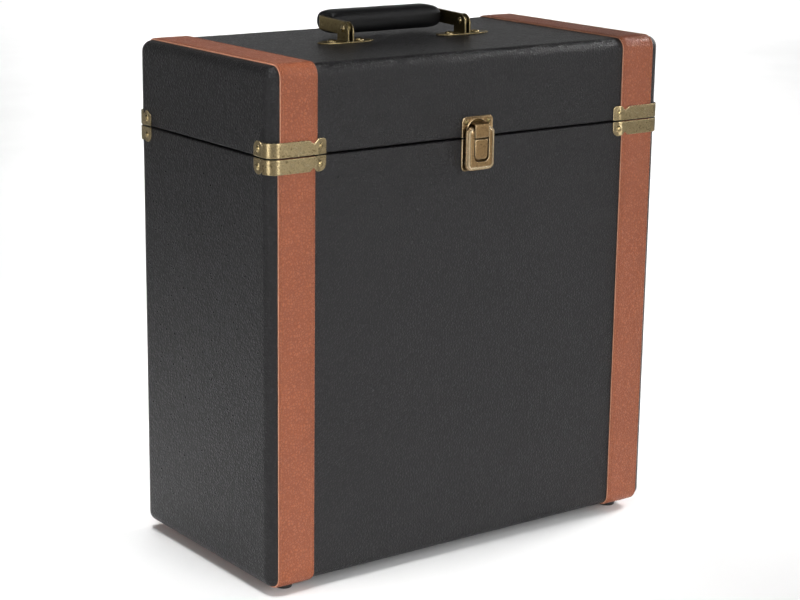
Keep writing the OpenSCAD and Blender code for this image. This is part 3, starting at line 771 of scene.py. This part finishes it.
def cut_and_bend(m, cuts, fn):
    """triangulates a flat plate, cuts it at the given x positions, then moves its points with fn"""
    me = bpy.data.meshes.new("tmp")
    me.from_pydata(m.v, [], m.f)
    bm = bmesh.new()
    bm.from_mesh(me)
    bmesh.ops.triangulate(bm, faces=[f for f in bm.faces if len(f.verts) > 4])
    for c in cuts:
        bmesh.ops.bisect_plane(bm, geom=list(bm.verts) + list(bm.edges) + list(bm.faces), dist=1e-5, plane_co=(c, 0, 0), plane_no=(1, 0, 0))
    bmesh.ops.triangulate(bm, faces=[f for f in bm.faces if len(f.verts) > 4])
    bm.verts.ensure_lookup_table()
    v = [fn(tuple(x.co)) for x in bm.verts]
    bm.verts.index_update()
    f = [tuple(x.index for x in g.verts) for g in bm.faces]
    bm.free()
    bpy.data.meshes.remove(me)
    return Mesh().add(v, f)


def corner_set(upper, body, name, node, nail_node):
    s = 1 if upper else -1
    flats = {sy: plate(bracket_outline(upper, sy == 1), [(0.25, 0.02), (0.0, 0.2), (0.0, 0.45), (0.12, 0.66), (0.34, 0.78), (0.6, 0.8)]) for sy in (1, -1)}
    cuts = [-U_CORNER * i / 10 for i in range(11)] + [0.0] + [20 + i * 0.6 for i in range(22)]
    bends = {sy: cut_and_bend(fl, cuts, lambda p: (*wrap_point(p[0], p[2], LSX if upper else SX), ZS + s * p[1])) for sy, fl in flats.items()}
    m, nm = Mesh(), Mesh()
    f = FRONT_NAIL
    for sx in (1, -1):
        for sy in (1, -1):
            mirror = lambda p, sx=sx, sy=sy: (p[0] * sx, p[1] * sy, p[2])
            m.join(bends[sy], mirror)
            h = ZS + s * (0.5 + 5.55)
            head = dome(2.6, 1.35)
            nm.join(head, lambda p: mirror((-W / 2 + f + p[0], -D / 2 - 0.12 - BT - p[2], h + p[1])))
            nm.join(head, lambda p: mirror((-W / 2 - BT - p[2], -D / 2 + SIDE_NAIL + p[0], h + p[1])))
    make(name, m.v, m.f, M["brass"], body, [node], angle=30)
    make(name + "_dome_nails", nm.v, nm.f, M["nail"], body, [nail_node], angle=50, weighted=False)


corner_set(False, "case", "body_wrapped_brackets", "body_corner_brackets", "body_bracket_nails")
corner_set(True, "lid", "lid_wrapped_brackets", "lid_corner_brackets", "lid_bracket_nails")

# ---------------------------------------------------------------- latch
P1, P2, P3 = (4.4, 5.8), (4.4, 2.0), (4.4, -2.6)
PW = 27.5 / 2


def catch_outline():
    p = [(-PW, 0.5), (-9.0, 0.5), (-9.0, 4.0)]
    p += arc(0, 4.0, 9.0, 180, 0, 20)[1:]
    p += [(9.0, 0.5), (PW, 0.5)]
    p += arc(PW - 3.5, 15.2 - 3.5, 3.5, 0, 90, 7)
    p += arc(-PW + 3.5, 15.2 - 3.5, 3.5, 90, 180, 7)
    return p


def clean(p, e=0.05):
    out = []
    for q in p:
        if not out or math.hypot(q[0] - out[-1][0], q[1] - out[-1][1]) > e:
            out.append(q)
    if math.hypot(out[0][0] - out[-1][0], out[0][1] - out[-1][1]) < e:
        out.pop()
    return out


RIM = [(0.0, 0.0), (0.0, 0.75), (0.1, 0.98), (0.32, 1.1), (0.6, 1.1), (0.85, 0.98), (1.05, 0.78), (1.25, 0.7)]
cp = plate(clean(catch_outline()), RIM)
m = Mesh().join(cp, on_front())
make("latch_catch_plate_pressed", m.v, m.f, M["latch"], "lid", ["latch_catch_plate"], angle=40)
# dark brass sheet laid in the arch of the catch plate: painted shade for the hollow, which lies in shadow
hollow = clean([(-9.1, 0.6), (9.1, 0.6), (9.1, 4.0)] + arc(0, 4.0, 9.1, 0, 180, 24)[1:])
m = Mesh().join(plate(hollow, [(0.0, -0.1), (0.0, 0.12), (0.15, 0.2), (1.2, 0.14)]), on_front())
make("latch_catch_plate_hollow_painted_shade", m.v, m.f, M["latch_dark"], "lid", angle=40)
m = Mesh()
for s in (-1, 1):
    m.join(dome(1.8, 0.85, n=24), on_front(s * 9.9, 11.2, 0.7))
make("latch_catch_rivet_heads", m.v, m.f, M["handle_brass"], "lid", ["latch_catch_rivets"], angle=50, weighted=False)

base_out = clean(rrect(PW, 11.6, 3.5, 7, 0, -12.1, rr=(3.5, 3.5, 0.0, 0.0)))
bp = plate(base_out, RIM)
m = Mesh().join(bp, on_front())
ear = [(0.6, -8), (0.6, -1.2), (1.7, -0.6), (3.32, 5.4)] + arc(P1[0], P1[1], 1.15, 200, -20, 12)[1:] + [(5.45, 5.0), (4.6, -6)]
for s in (-1, 1):
    e = plate(clean(ear), [(0.1, 0.0), (0.0, 0.1), (0.0, 0.7), (0.1, 0.8)])
    m.join(e, lambda p, s=s: (s * 9.8 - 0.4 + p[2], -D / 2 - p[0], ZS + p[1]))
make("latch_base_plate_pressed", m.v, m.f, M["latch"], "case", ["latch_base_plate"], angle=40)
m = Mesh()
for s in (-1, 1):
    m.join(dome(2.0, 0.8, n=24), on_front(s * 9.0, -18, 0.7))
make("latch_base_rivet_heads", m.v, m.f, M["nail"], "case", ["latch_base_rivets"], angle=50, weighted=False)


def lever():
    """bevelled U frame with return flanges behind it"""
    w, v, b, t = 12.5, 6.5, -23.2, 8.2
    p = []
    p += arc(-w + 4.6, b + 4.6, 4.6, 180, 270, 9)
    p += arc(w - 4.6, b + 4.6, 4.6, 270, 360, 9)
    p += [(w, t - 3.2), (w - 3.6, t)]
    p += [(v, t)]
    p += [(v, -16.7 + 3.2)]
    p += arc(v - 3.2, -16.7 + 3.2, 3.2, 0, -90, 8)[1:]
    p += arc(-v + 3.2, -16.7 + 3.2, 3.2, 270, 180, 8)
    p += [(-v, t), (-w + 3.6, t), (-w, t - 3.2)]
    p = clean(p, 0.02)
    # which edges get the wide bevel: those outside the window
    def wide(i):
        a, c = p[i], p[(i + 1) % len(p)]
        inside = abs(a[0]) <= v + 0.01 and abs(c[0]) <= v + 0.01 and a[1] > b + 4 and c[1] > b + 4
        return not inside
    W1 = [1.0 if wide(i) else 0.0 for i in range(len(p))]
    def ins(a, c):
        return [a if k else c for k in W1]
    prof = [(ins(0.0, 0.0), 3.2), (ins(0.0, 0.0), 4.1), (ins(0.08, 0.0), 4.35), (ins(0.28, 0.0), 4.58), (ins(2.75, 0.0), 6.08), (ins(2.95, 0.12), 6.25),
            (ins(3.15, 0.3), 6.36), (ins(3.5, 0.55), 6.4)]
    m = plate(p, prof, (False, True))
    # inner faces behind the front wall
    thick = inset_poly(p, 0.9)
    n = len(p)
    base = len(m.v)
    back = [(x, y, 3.2) for x, y in thick]
    deep = [(x, y, 5.6) for x, y in thick]
    m.v += back + deep
    for i in range(n):
        j = (i + 1) % n
        m.f.append((j, i, base + i, base + j))
        m.m.append(0)
        m.f.append((base + j, base + i, base + n + i, base + n + j))
        m.m.append(0)
    m.f.append(tuple(base + n + i for i in reversed(range(n))))
    m.m.append(0)
    return m


b = lathe([(0.0, -0.35), (0.35, -0.3), (0.58, -0.15), (0.64, 0.0), (0.64, 21.8), (0.58, 21.95), (0.35, 22.1), (0.0, 22.15)], 20)
m = Mesh().join(b, lambda p: (-10.9 + p[2], -D / 2 - P1[0] - p[0], ZS + P1[1] + p[1]))
make("latch_lever_pin_turned", m.v, m.f, M["latch"], "case", ["latch_lever_pin"], angle=40, weighted=False)

m = Mesh().join(lever(), on_front())
make("latch_lever_bevelled_frame", m.v, m.f, M["latch"], "latch_lever", ["latch_lever"], angle=32)

# tongue: side outline in (distance from the front, height), as wide as the window
tong = [(5.4, 0.3), (6.2, 0.3), (6.5, 0.55), (6.66, 1.2), (6.7, 3.0), (6.7, 8.2), (6.66, 9.2), (6.5, 9.9), (6.15, 10.45), (5.6, 10.8), (4.8, 10.9),
        (3.0, 10.9), (1.5, 10.9), (1.5, 9.8), (4.4, 9.7), (5.2, 9.2), (5.5, 8.2)]
m = Mesh()
b = plate(tong, [(0.35, 0.0), (0.1, 0.12), (0.0, 0.35), (0.0, 11.85), (0.1, 12.08), (0.35, 12.2)])
m.join(b, lambda p: (-6.1 + p[2], -D / 2 - p[0], ZS + p[1]))
nib = [(0.35, 9.8), (1.6, 9.8), (1.6, 10.9), (0.35, 10.9)]
b = plate(nib, [(0.15, 0.0), (0.0, 0.15), (0.0, 6.25), (0.15, 6.4)])
m.join(b, lambda p: (-3.2 + p[2], -D / 2 - p[0], ZS + p[1]))
b = lathe([(0.66, 0.0), (1.15, 0.0), (1.3, 0.15), (1.3, 12.45), (1.15, 12.6), (0.66, 12.6), (0.66, 0.0)], 20)
m.join(b, lambda p: (-6.3 + p[2], -D / 2 - P2[0] - p[0], ZS + P2[1] + p[1]))
web = [(4.4, 0.9), (5.5, 0.9), (5.5, 3.1), (4.4, 3.1)]
m.join(plate(web, [(0.0, 0.0), (0.0, 12.4)]), lambda p: (-6.2 + p[2], -D / 2 - p[0], ZS + p[1]))
make("latch_tongue_curved", m.v, m.f, M["latch"], "latch_tongue", ["latch_tongue"], angle=34)

# thumb tab: crowned pad with a bright edge
tabp = clean(rrect(5.65, 7.15, 3.0, 8, 0, -8.1, rr=(3.0, 3.0, 0.0, 0.0)))
m = Mesh()
m.join(plate(tabp, [(0.0, 5.1), (0.0, 5.62), (0.12, 5.86), (0.36, 6.02), (0.7, 6.08), (2.2, 6.12)]), lambda p: (p[0], -D / 2 - p[2], ZS + p[1]))
b = lathe([(0.66, 0.0), (1.0, 0.0), (1.1, 0.1), (1.1, 12.2), (1.0, 12.3), (0.66, 12.3), (0.66, 0.0)], 18)
m.join(b, lambda p: (-6.15 + p[2], -D / 2 - P3[0] - p[0], ZS + P3[1] + p[1]))
web = [(4.4, -3.6), (5.3, -3.6), (5.3, -1.6), (4.4, -1.6)]
m.join(plate(web, [(0.0, 0.0), (0.0, 12.2)]), lambda p: (-6.1 + p[2], -D / 2 - p[0], ZS + p[1]))
make("latch_thumb_tab_pad", m.v, m.f, M["latch"], "latch_thumb_tab", ["latch_thumb_tab"], angle=34)

# ---------------------------------------------------------------- rear hinges
KO, KR = 3.1, 2.8
SEG = (40 - 0.8) / 3


def hinge_half(upper):
    s = 1 if upper else -1
    m, rv = Mesh(), Mesh()
    for hx in (-90, 90):
        out = clean(rrect(20, 7.85, 2.2, 6, 0, 11.15, rr=(0.4, 0.4, 2.2, 2.2)))
        m.join(plate(out, edge_profile(1.0, 0.3)), lambda p: (hx + p[0], D / 2 + p[2], ZS + s * p[1]))
        segs = [(-SEG / 2, SEG / 2)] if upper else [(-20, -20 + SEG), (20 - SEG, 20)]
        for a, b in segs:
            L = b - a
            k = lathe([(1.3, 0.0), (KR - 0.35, 0.0), (KR - 0.1, 0.1), (KR, 0.35), (KR, L - 0.35), (KR - 0.1, L - 0.1), (KR - 0.35, L), (1.3, L)], 32)
            m.join(k, lambda p: (hx + a + p[2], D / 2 + KO + p[0], ZS + p[1]))
            # rolled leaf running into the knuckle
            web = [(0.0, 4.4), (0.0, 1.4), (1.2, 1.0), (2.6, 1.3), (1.9, 2.2), (1.25, 3.0), (1.0, 4.4)]
            m.join(plate(web, [(0.0, 0.0), (0.0, L)]), lambda p: (hx + a + p[2], D / 2 + p[0], ZS + s * p[1]))
        for x in (-12, 12):
            rv.join(dome(2.2, 0.9, n=24), lambda p: (hx + x + p[0], D / 2 + 1.0 + p[2], ZS + s * 12 + p[1]))
    return m, rv


m, rv = hinge_half(False)
make("body_hinge_leaves_rolled", m.v, m.f, M["brass"], "case", ["body_hinge_leaves"], angle=34)
make("body_hinge_rivet_heads", rv.v, rv.f, M["nail"], "case", ["body_hinge_rivets"], angle=50, weighted=False)
m, rv = hinge_half(True)
make("lid_hinge_leaves_rolled", m.v, m.f, M["brass"], "lid", ["lid_hinge_leaves"], angle=34)
make("lid_hinge_rivet_heads", rv.v, rv.f, M["nail"], "lid", ["lid_hinge_rivets"], angle=50, weighted=False)
m = Mesh()
for hx in (-90, 90):
    k = lathe([(0.0, -0.5), (0.7, -0.45), (1.1, -0.2), (1.2, 0.0), (1.2, 40.0), (1.1, 40.2), (0.7, 40.45), (0.0, 40.5)], 20)
    m.join(k, lambda p: (hx - 20 + p[2], D / 2 + KO + p[0], ZS + p[1]))
make("rear_hinge_pins", m.v, m.f, M["brass"], "case", ["hinge_pins"], angle=40, weighted=False)

# ---------------------------------------------------------------- feet
m, sc, dr = Mesh(), Mesh(), Mesh()
for x in (-SX, SX):
    for y in (-D / 2 + 16, D / 2 - 16):
        foot = lathe([(3.2, 1.8), (3.2, 0.35), (3.5, 0.05), (3.9, 0.0), (5.5, 0.0), (5.95, 0.1), (6.15, 0.45), (6.25, 1.2), (6.9, 4.3), (6.75, 4.7), (6.4, 4.8), (1.2, 4.8), (1.2, 1.8), (3.2, 1.8)], 40)
        m.join(foot, lambda p: (x + p[0], y + p[1], p[2]))
        head = lathe([(0.0, 0.62), (1.2, 0.58), (2.1, 0.55), (2.55, 0.7), (2.9, 1.4), (2.95, 1.8), (1.2, 1.8), (1.2, 5.0)], 28)
        sc.join(head, lambda p: (x + p[0], y + p[1], p[2]))
        # dark cross sheet on each screw head: painted shade for the drive recess
        a = 0.32
        plus = [(-1.5, -a), (-a, -a), (-a, -1.5), (a, -1.5), (a, -a), (1.5, -a), (1.5, a), (a, a), (a, 1.5), (-a, 1.5), (-a, a), (-1.5, a)]
        dr.join(plate(plus, [(0.0, 0.0), (0.0, 0.14)]), lambda p: (x + p[0], y + p[1], 0.53 + p[2]))
make("rubber_feet_moulded", m.v, m.f, M["rubber"], "case", ["rubber_feet"], angle=40)
make("foot_screw_heads", sc.v, sc.f, M["zinc"], "case", ["foot_screws"], angle=40, weighted=False)
make("foot_screw_drives_painted_shade", dr.v, dr.f, M["dark"], "case", angle=40, weighted=False)

# ---------------------------------------------------------------- handle
corner = [(23.5, 1.2), (22.6, 2.9), (20.6, 4.4), (17.4, 5.8), (14.0, 6.8), (10.5, 7.4), (7.0, 7.6)]
eye = corner + [(-x, y) for x, y in corner[::-1]] + [(-x, -y) for x, y in corner] + [(x, -y) for x, y in corner[::-1]]
arch = [(-7.0, 0.4), (7.0, 0.4), (7.0, 6.0), (6.95, 7.4), (6.75, 8.8), (6.3, 10.1), (5.7, 11.3), (4.9, 12.4), (3.9, 13.4), (2.7, 14.2), (1.4, 14.75), (0.0, 14.9)]
arch += [(-x, y) for x, y in arch[2:-1][::-1]]
br, rv, pv = Mesh(), Mesh(), Mesh()
for s in (-1, 1):
    cx = s * HX
    br.join(plate(eye, [(0.25, 0.0), (0.0, 0.2), (0.0, 0.55), (0.12, 0.84), (0.4, 1.0), (0.9, 1.0), (1.2, 0.86), (1.5, 0.8)]), lambda p: (cx + p[0], p[1], ZT + p[2]))
    for e in (-1, 1):
        ep = plate(clean(arch), [(0.3, 0.0), (0.08, 0.1), (0.0, 0.3), (0.0, 0.9), (0.08, 1.1), (0.3, 1.2)])
        br.join(ep, lambda p: (cx + e * 2.1 - 0.6 + p[2], p[0], ZT + p[1]))
        # small fillet where the ear leaves the plate
        fl = [(0.0, 0.0), (1.2, 0.0), (0.55, 0.26), (0.2, 0.7), (0.0, 1.3)]
        br.join(plate(fl, [(0.0, 0.0), (0.0, 13.0)]), lambda p: (cx + e * (2.66 + p[0]), -6.5 + p[2], ZT + 0.78 + p[1]))
        # tubular rivet: rolled flange, crowned middle
        rv.join(lathe([(3.3, -0.2), (3.6, 0.0), (3.6, 0.35), (3.45, 0.75), (3.1, 1.05), (2.7, 1.22), (2.1, 1.5), (1.3, 1.66), (0.6, 1.7), (0.0, 1.7)], 32),
                lambda p: (cx + e * 12.0 + p[0], p[1], ZT + 0.85 + p[2]))
        pv.join(dome(2.5, 1.15, n=28), lambda p: (cx + e * (2.7 + p[2]), p[0], PZ + p[1]))
make("handle_brackets_pressed", br.v, br.f, M["handle_brass"], "lid", ["handle_brackets"], angle=36)
make("handle_bracket_rivet_heads", rv.v, rv.f, M["nail"], "lid", ["handle_bracket_rivets"], angle=50, weighted=False)
make("handle_pivot_heads", pv.v, pv.f, M["nail"], "lid", angle=50, weighted=False)


def tilt(p):
    """the handle rests a little above the lid"""
    c, k = math.cos(TILT), math.sin(TILT)
    return (p[0], p[1] * c - (p[2] - PZ) * k, PZ + p[1] * k + (p[2] - PZ) * c)


# flat bar, unrolled then bent into the U
BEND = 4.0
rc = BEND - BAR_T / 2                     # radius of the middle line
leg = REACH + BAR_T / 2 - BEND            # straight part of a leg, from the pivot
span = 2 * HX + BAR_T - 2 * BEND
Lt = 2 * leg + math.pi * rc + span


def bar_point(p):
    u, zz, w = p[0] + Lt / 2, p[1], p[2] - BAR_T / 2      # w > 0: outside of the U
    if u < leg:
        return (-HX - w, u, PZ + zz)
    u -= leg
    if u < math.pi / 2 * rc:
        a = u / rc
        cx, cy = -HX - BAR_T / 2 + BEND, leg
        return (cx - math.cos(a) * (rc + w), cy + math.sin(a) * (rc + w), PZ + zz)
    u -= math.pi / 2 * rc
    if u < span:
        return (-span / 2 + u, REACH + w, PZ + zz)
    u -= span
    if u < math.pi / 2 * rc:
        a = u / rc
        cx, cy = HX + BAR_T / 2 - BEND, leg
        return (cx + math.sin(a) * (rc + w), cy + math.cos(a) * (rc + w), PZ + zz)
    u -= math.pi / 2 * rc
    return (HX + w, leg - u, PZ + zz)


hw = BAR_W / 2
ol = []
ol += [(Lt / 2, -hw)] + arc(Lt / 2, 0, hw, -90, 90, 16)[1:-1] + [(Lt / 2, hw)]
ol += [(-Lt / 2, hw)] + arc(-Lt / 2, 0, hw, 90, 270, 16)[1:-1] + [(-Lt / 2, -hw)]
flat = plate(clean(ol), [(0.45, 0.0), (0.15, 0.12), (0.0, 0.4), (0.0, 2.2), (0.15, 2.48), (0.45, 2.6)])
q = leg - Lt / 2
cuts = [q + math.pi / 2 * rc * i / 8 for i in range(9)]
cuts += [-c for c in cuts]
bent = cut_and_bend(flat, cuts, lambda p: tilt(bar_point(p)))
make("handle_flat_bar", bent.v, bent.f, M["handle_brass"], "handle", ["handle_strap"], angle=34)


GY, GL, GH, GD = REACH - 1.4, 49.6, 17.7, 23.0      # grip: middle, half length, height, depth


def grip():
    """padded sleeve round the bar: full in the middle, drawn in towards both ends"""
    ds = [0.0, 0.25, 0.6, 1.1, 1.8, 2.7, 3.8, 5.1, 6.6, 8.4, 10.2, 12.0, 14.5]
    xs = [-GL + d for d in ds]
    k = 18
    xs += [(-GL + 14.5) + (2 * GL - 29) * i / k for i in range(1, k)]
    xs += [-x for x in xs[:len(ds)]][::-1]
    rings = []
    for x in xs:
        d = GL - abs(x)                      # distance from the end
        t = min(d / 12.0, 1.0)
        hz = 6.1 + (GH / 2 - 6.1) * math.sqrt(max(1 - (1 - t) ** 2, 0.0))
        r = 1.6                              # soft lip at the cut end
        q = min(d, r)
        ins = r - math.sqrt(max(r * r - (r - q) ** 2, 0.0))
        hy = GD / 2 - ins - 0.5 * (1 - t) ** 2
        hz -= ins * 0.9
        ring = []
        for i in range(48):
            a = 2 * math.pi * i / 48
            c, s_ = math.cos(a), math.sin(a)
            e = 3.1
            rr = (abs(c) ** e + abs(s_) ** e) ** (-1 / e)
            y, z = hy * rr * c, hz * rr * s_
            # soft hand-worn unevenness
            nz = noise.noise(Vector((x * 0.05, y * 0.10, z * 0.10 + 3.1))) * 0.22 - 0.1
            f = 1 + nz / 10.0 * min(d / 6, 1)
            ring.append(tilt((x, GY + y * f, PZ + z * f)))
        rings.append(ring)
    return loft_rings(rings, True, True, True)


gm = grip()
gob = make("handle_grip_padded", gm.v, gm.f, M["grip"], "handle", ["handle_grip"], angle=60)
gob.modifiers.clear()
sub = gob.modifiers.new("round", "SUBSURF")
sub.levels = 1
sub.render_levels = 1
# closing seam along the rear of the grip: two lips and a row of stitches
sm, st = Mesh(), Mesh()
L = 86
back = GY + GD / 2 - 0.35
for side in (-1, 1):
    sec = [(0.0, 0.0), (0.75, 0.12), (1.3, 0.0), (1.3, -0.7), (0.0, -0.7)]
    rings = []
    for i in range(29):
        x = -L / 2 + L * i / 28
        f = min(1.0, min(i, 28 - i) / 2.0 + 0.05)
        rings.append([tilt((x, back + o * f + 0.02, PZ + side * (0.08 + w * f))) for w, o in sec])
    sm.join(loft_rings(rings, True, True, True))
n_st = 24
for i in range(n_st):
    x = -L / 2 + 4 + (L - 8) * i / (n_st - 1)
    for side in (-1, 1):
        rings = []
        for u, rad, dr_ in ((-1.1, 0.08, -0.2), (-0.8, 0.2, 0.0), (0.8, 0.2, 0.0), (1.1, 0.08, -0.2)):
            rings.append([tilt((x + u, back + 0.12 + dr_ + rad * math.sin(a) * 0.8, PZ + side * 0.95 + rad * math.cos(a))) for a in [2 * math.pi * j / 6 for j in range(6)]])
        st.join(loft_rings(rings, True, True, True))
# bound rims of the sleeve round the bar
for side in (-1, 1):
    rings = []
    n = 44
    for i in range(n):
        a = 2 * math.pi * i / n
        c, s_ = math.cos(a), math.sin(a)
        rr = (abs(c) ** 3.1 + abs(s_) ** 3.1) ** (-1 / 3.1)
        y, z = (GD / 2 - 1.9) * rr * c, 4.55 * rr * s_
        k = math.hypot(y, z)
        rings.append([tilt((side * (GL + dx), GY + y * (1 + w / k), PZ + z * (1 + w / k))) for dx, w in ((-0.6, -0.5), (0.1, -0.42), (0.3, 0.0), (0.1, 0.42), (-0.6, 0.5))])
    rings.append(rings[0])
    sm.join(loft_rings(rings, True, False, False))
make("handle_grip_seam_lips", sm.v, sm.f, M["grip"], "handle", angle=60, weighted=False)
make("handle_grip_seam_stitching", st.v, st.f, M["black_thread"], "handle", angle=70, weighted=False)

# ---------------------------------------------------------------- CAD nodes that stay
for node, ob in frame["nodes"].items():
    if ob.hide_render:
        continue
    mt = M["board"] if node.endswith("_board") else M["brass"]
    ob.data.materials.clear()
    ob.data.materials.append(mt)

# ---------------------------------------------------------------- stage
def area(name, loc, target, size, power, color=(1, 1, 1)):
    l = bpy.data.lights.new(name, "AREA")
    l.shape = "RECTANGLE"
    l.size, l.size_y = size
    l.energy = power
    l.color = color
    o = bpy.data.objects.new(name, l)
    bpy.context.scene.collection.objects.link(o)
    o.location = loc
    o.rotation_euler = (Vector(target) - Vector(loc)).to_track_quat("-Z", "Y").to_euler()
    return o


fm = bpy.data.meshes.new("floor")
bm = bmesh.new()
bmesh.ops.create_circle(bm, cap_ends=True, radius=6.5, segments=96)
bm.to_mesh(fm)
bm.free()
floor = bpy.data.objects.new("floor", fm)
bpy.context.scene.collection.objects.link(floor)
floor.location = (0, 0, 0)
n = N("floor_white")
t = n.noise(6, 2, 0.5)
fm.materials.append(n.set(Base_Color=n.mix(n.map(t, 0.3, 0.7, 0, 1), rgb(0.90, 0.90, 0.90), rgb(0.93, 0.93, 0.93)), Roughness=0.7, Specular_IOR_Level=0.2))

world = bpy.data.worlds.new("studio")
bpy.context.scene.world = world
world.use_nodes = True
wt = world.node_tree
wt.nodes.clear()
wo = wt.nodes.new("ShaderNodeOutputWorld")
bg = wt.nodes.new("ShaderNodeBackground")
wt.links.new(bg.outputs[0], wo.inputs[0])
tc = wt.nodes.new("ShaderNodeTexCoord")
sp = wt.nodes.new("ShaderNodeSeparateXYZ")
wt.links.new(tc.outputs["Generated"], sp.inputs[0])
mr = wt.nodes.new("ShaderNodeMapRange")
mr.interpolation_type = "SMOOTHSTEP"
for i, v in enumerate((0.14, 0.42, 0.50, 0.04)):
    mr.inputs[i + 1].default_value = v
wt.links.new(sp.outputs["Z"], mr.inputs[0])
cc = wt.nodes.new("ShaderNodeCombineColor")
for i in range(3):
    wt.links.new(mr.outputs[0], cc.inputs[i])
wt.links.new(cc.outputs[0], bg.inputs[0])
bg.inputs[1].default_value = 1.0

area("left_panel", (-1.15, -0.29, 0.36), (-0.17, -0.09, 0.30), (0.38, 0.66), 3.2)
area("front_panel", (0.05, -1.07, 0.20), (-0.17, -0.09, 0.24), (0.20, 0.36), 0.9)
area("camera_softbox", (-1.30, -2.05, 1.25), (0, 0, 0.2), (0.55, 1.2), 4.5)
area("front_softbox", (0.40, -2.45, 0.95), (0, 0, 0.25), (1.3, 1.3), 4.2).data.spread = math.radians(60.0)
# small panels above the floor keep it white: x, y, z, side, spread, aim (straight down if None), watts
for _i, (_x, _y, _z, _s, _spread, _aim, _watts) in enumerate((
    (-0.38, -0.2, 1.1, 0.35, 56, None, 1.27),
    (-0.1, 0.42, 1.2, 0.4, 54, None, 1.30),
    (1.45, 0.05, 0.85, 0.45, 50, (0.35, 0.05, 0.0), 2.57),
    (1.2, -0.75, 0.6, 0.35, 50, (0.2, -0.25, 0.0), 0.47),
    (0.4, 0.85, 1.5, 0.7, 54, None, 2.34),
    (0.95, 0.6, 1.5, 0.7, 54, None, 1.64),
    (0.8, 1.4, 1.8, 1.0, 54, None, 4.09),
    (1.5, 1.1, 1.8, 1.0, 54, None, 3.04),
    (1.3, 2.3, 2.0, 1.3, 60, None, 7.60),
    (2.2, 1.9, 2.0, 1.3, 60, None, 5.15),
    (1.8, 3.4, 2.0, 1.6, 64, None, 11.11),
    (3.0, 2.9, 2.0, 1.6, 64, None, 12.29),
    (2.8, 4.6, 2.0, 2.0, 64, None, 16.96),
)):
    _o = area("floor_panel_%02d" % _i, (_x, _y, _z), _aim or (_x, _y, 0.0), (_s, _s), _watts)
    if _aim is None:
        _o.rotation_euler = (0.0, 0.0, -0.63346)
    _o.data.spread = math.radians(_spread)
# wide panels over the outer floor, which the photograph's view leaves out: across and along the view, sizes, watts
for _i, (_r, _f, _w, _l, _watts) in enumerate(((-3.4, 0.6, 2.4, 7.0, 44.0), (3.6, -0.4, 2.4, 6.0, 37.8), (0.0, -3.6, 4.6, 2.4, 29.0),
                                         (1.6, -1.0, 1.4, 2.6, 4.6))):
    _x, _y = _r * 0.806 + _f * 0.592, -_r * 0.592 + _f * 0.806
    _o = area("outer_floor_panel_%d" % _i, (_x, _y, 3.0), (_x, _y, 0.0), (_w, _l), _watts)
    _o.rotation_euler = (0.0, 0.0, -0.63346)
    _o.data.spread = math.radians(40)

# ---------------------------------------------------------------- camera
CAM = Vector((-714.13 - 175.0, -1119.82 - 87.5, 547.99 + 6.0)) * MM
yaw, pitch, roll = 0.63346, 0.24879, 0.0137025
fw = Vector((math.sin(yaw) * math.cos(pitch), math.cos(yaw) * math.cos(pitch), -math.sin(pitch)))
right = Vector((math.cos(yaw), -math.sin(yaw), 0.0))
up = right.cross(fw)
r2 = right * math.cos(roll) + up * math.sin(roll)
u2 = -right * math.sin(roll) + up * math.cos(roll)
cam = bpy.data.cameras.new("camera")
cam.sensor_fit = "HORIZONTAL"
cam.sensor_width = 36.0
cam.lens = 2030.99 / 800 * 36.0
cam.shift_x = (400 - 398.75) / 800.0
cam.shift_y = (300.31 - 300.0) / 800.0
cam.clip_start = 0.05
co = bpy.data.objects.new("camera", cam)
bpy.context.scene.collection.objects.link(co)
co.matrix_world = Matrix(((r2.x, u2.x, -fw.x, CAM.x), (r2.y, u2.y, -fw.y, CAM.y), (r2.z, u2.z, -fw.z, CAM.z), (0, 0, 0, 1)))
bpy.context.scene.camera = co
bpy.context.scene.view_settings.view_transform = "Standard"
bpy.context.scene.view_settings.look = "None"
bpy.context.scene.view_settings.exposure = 0.0

bpy.context.view_layer.update()
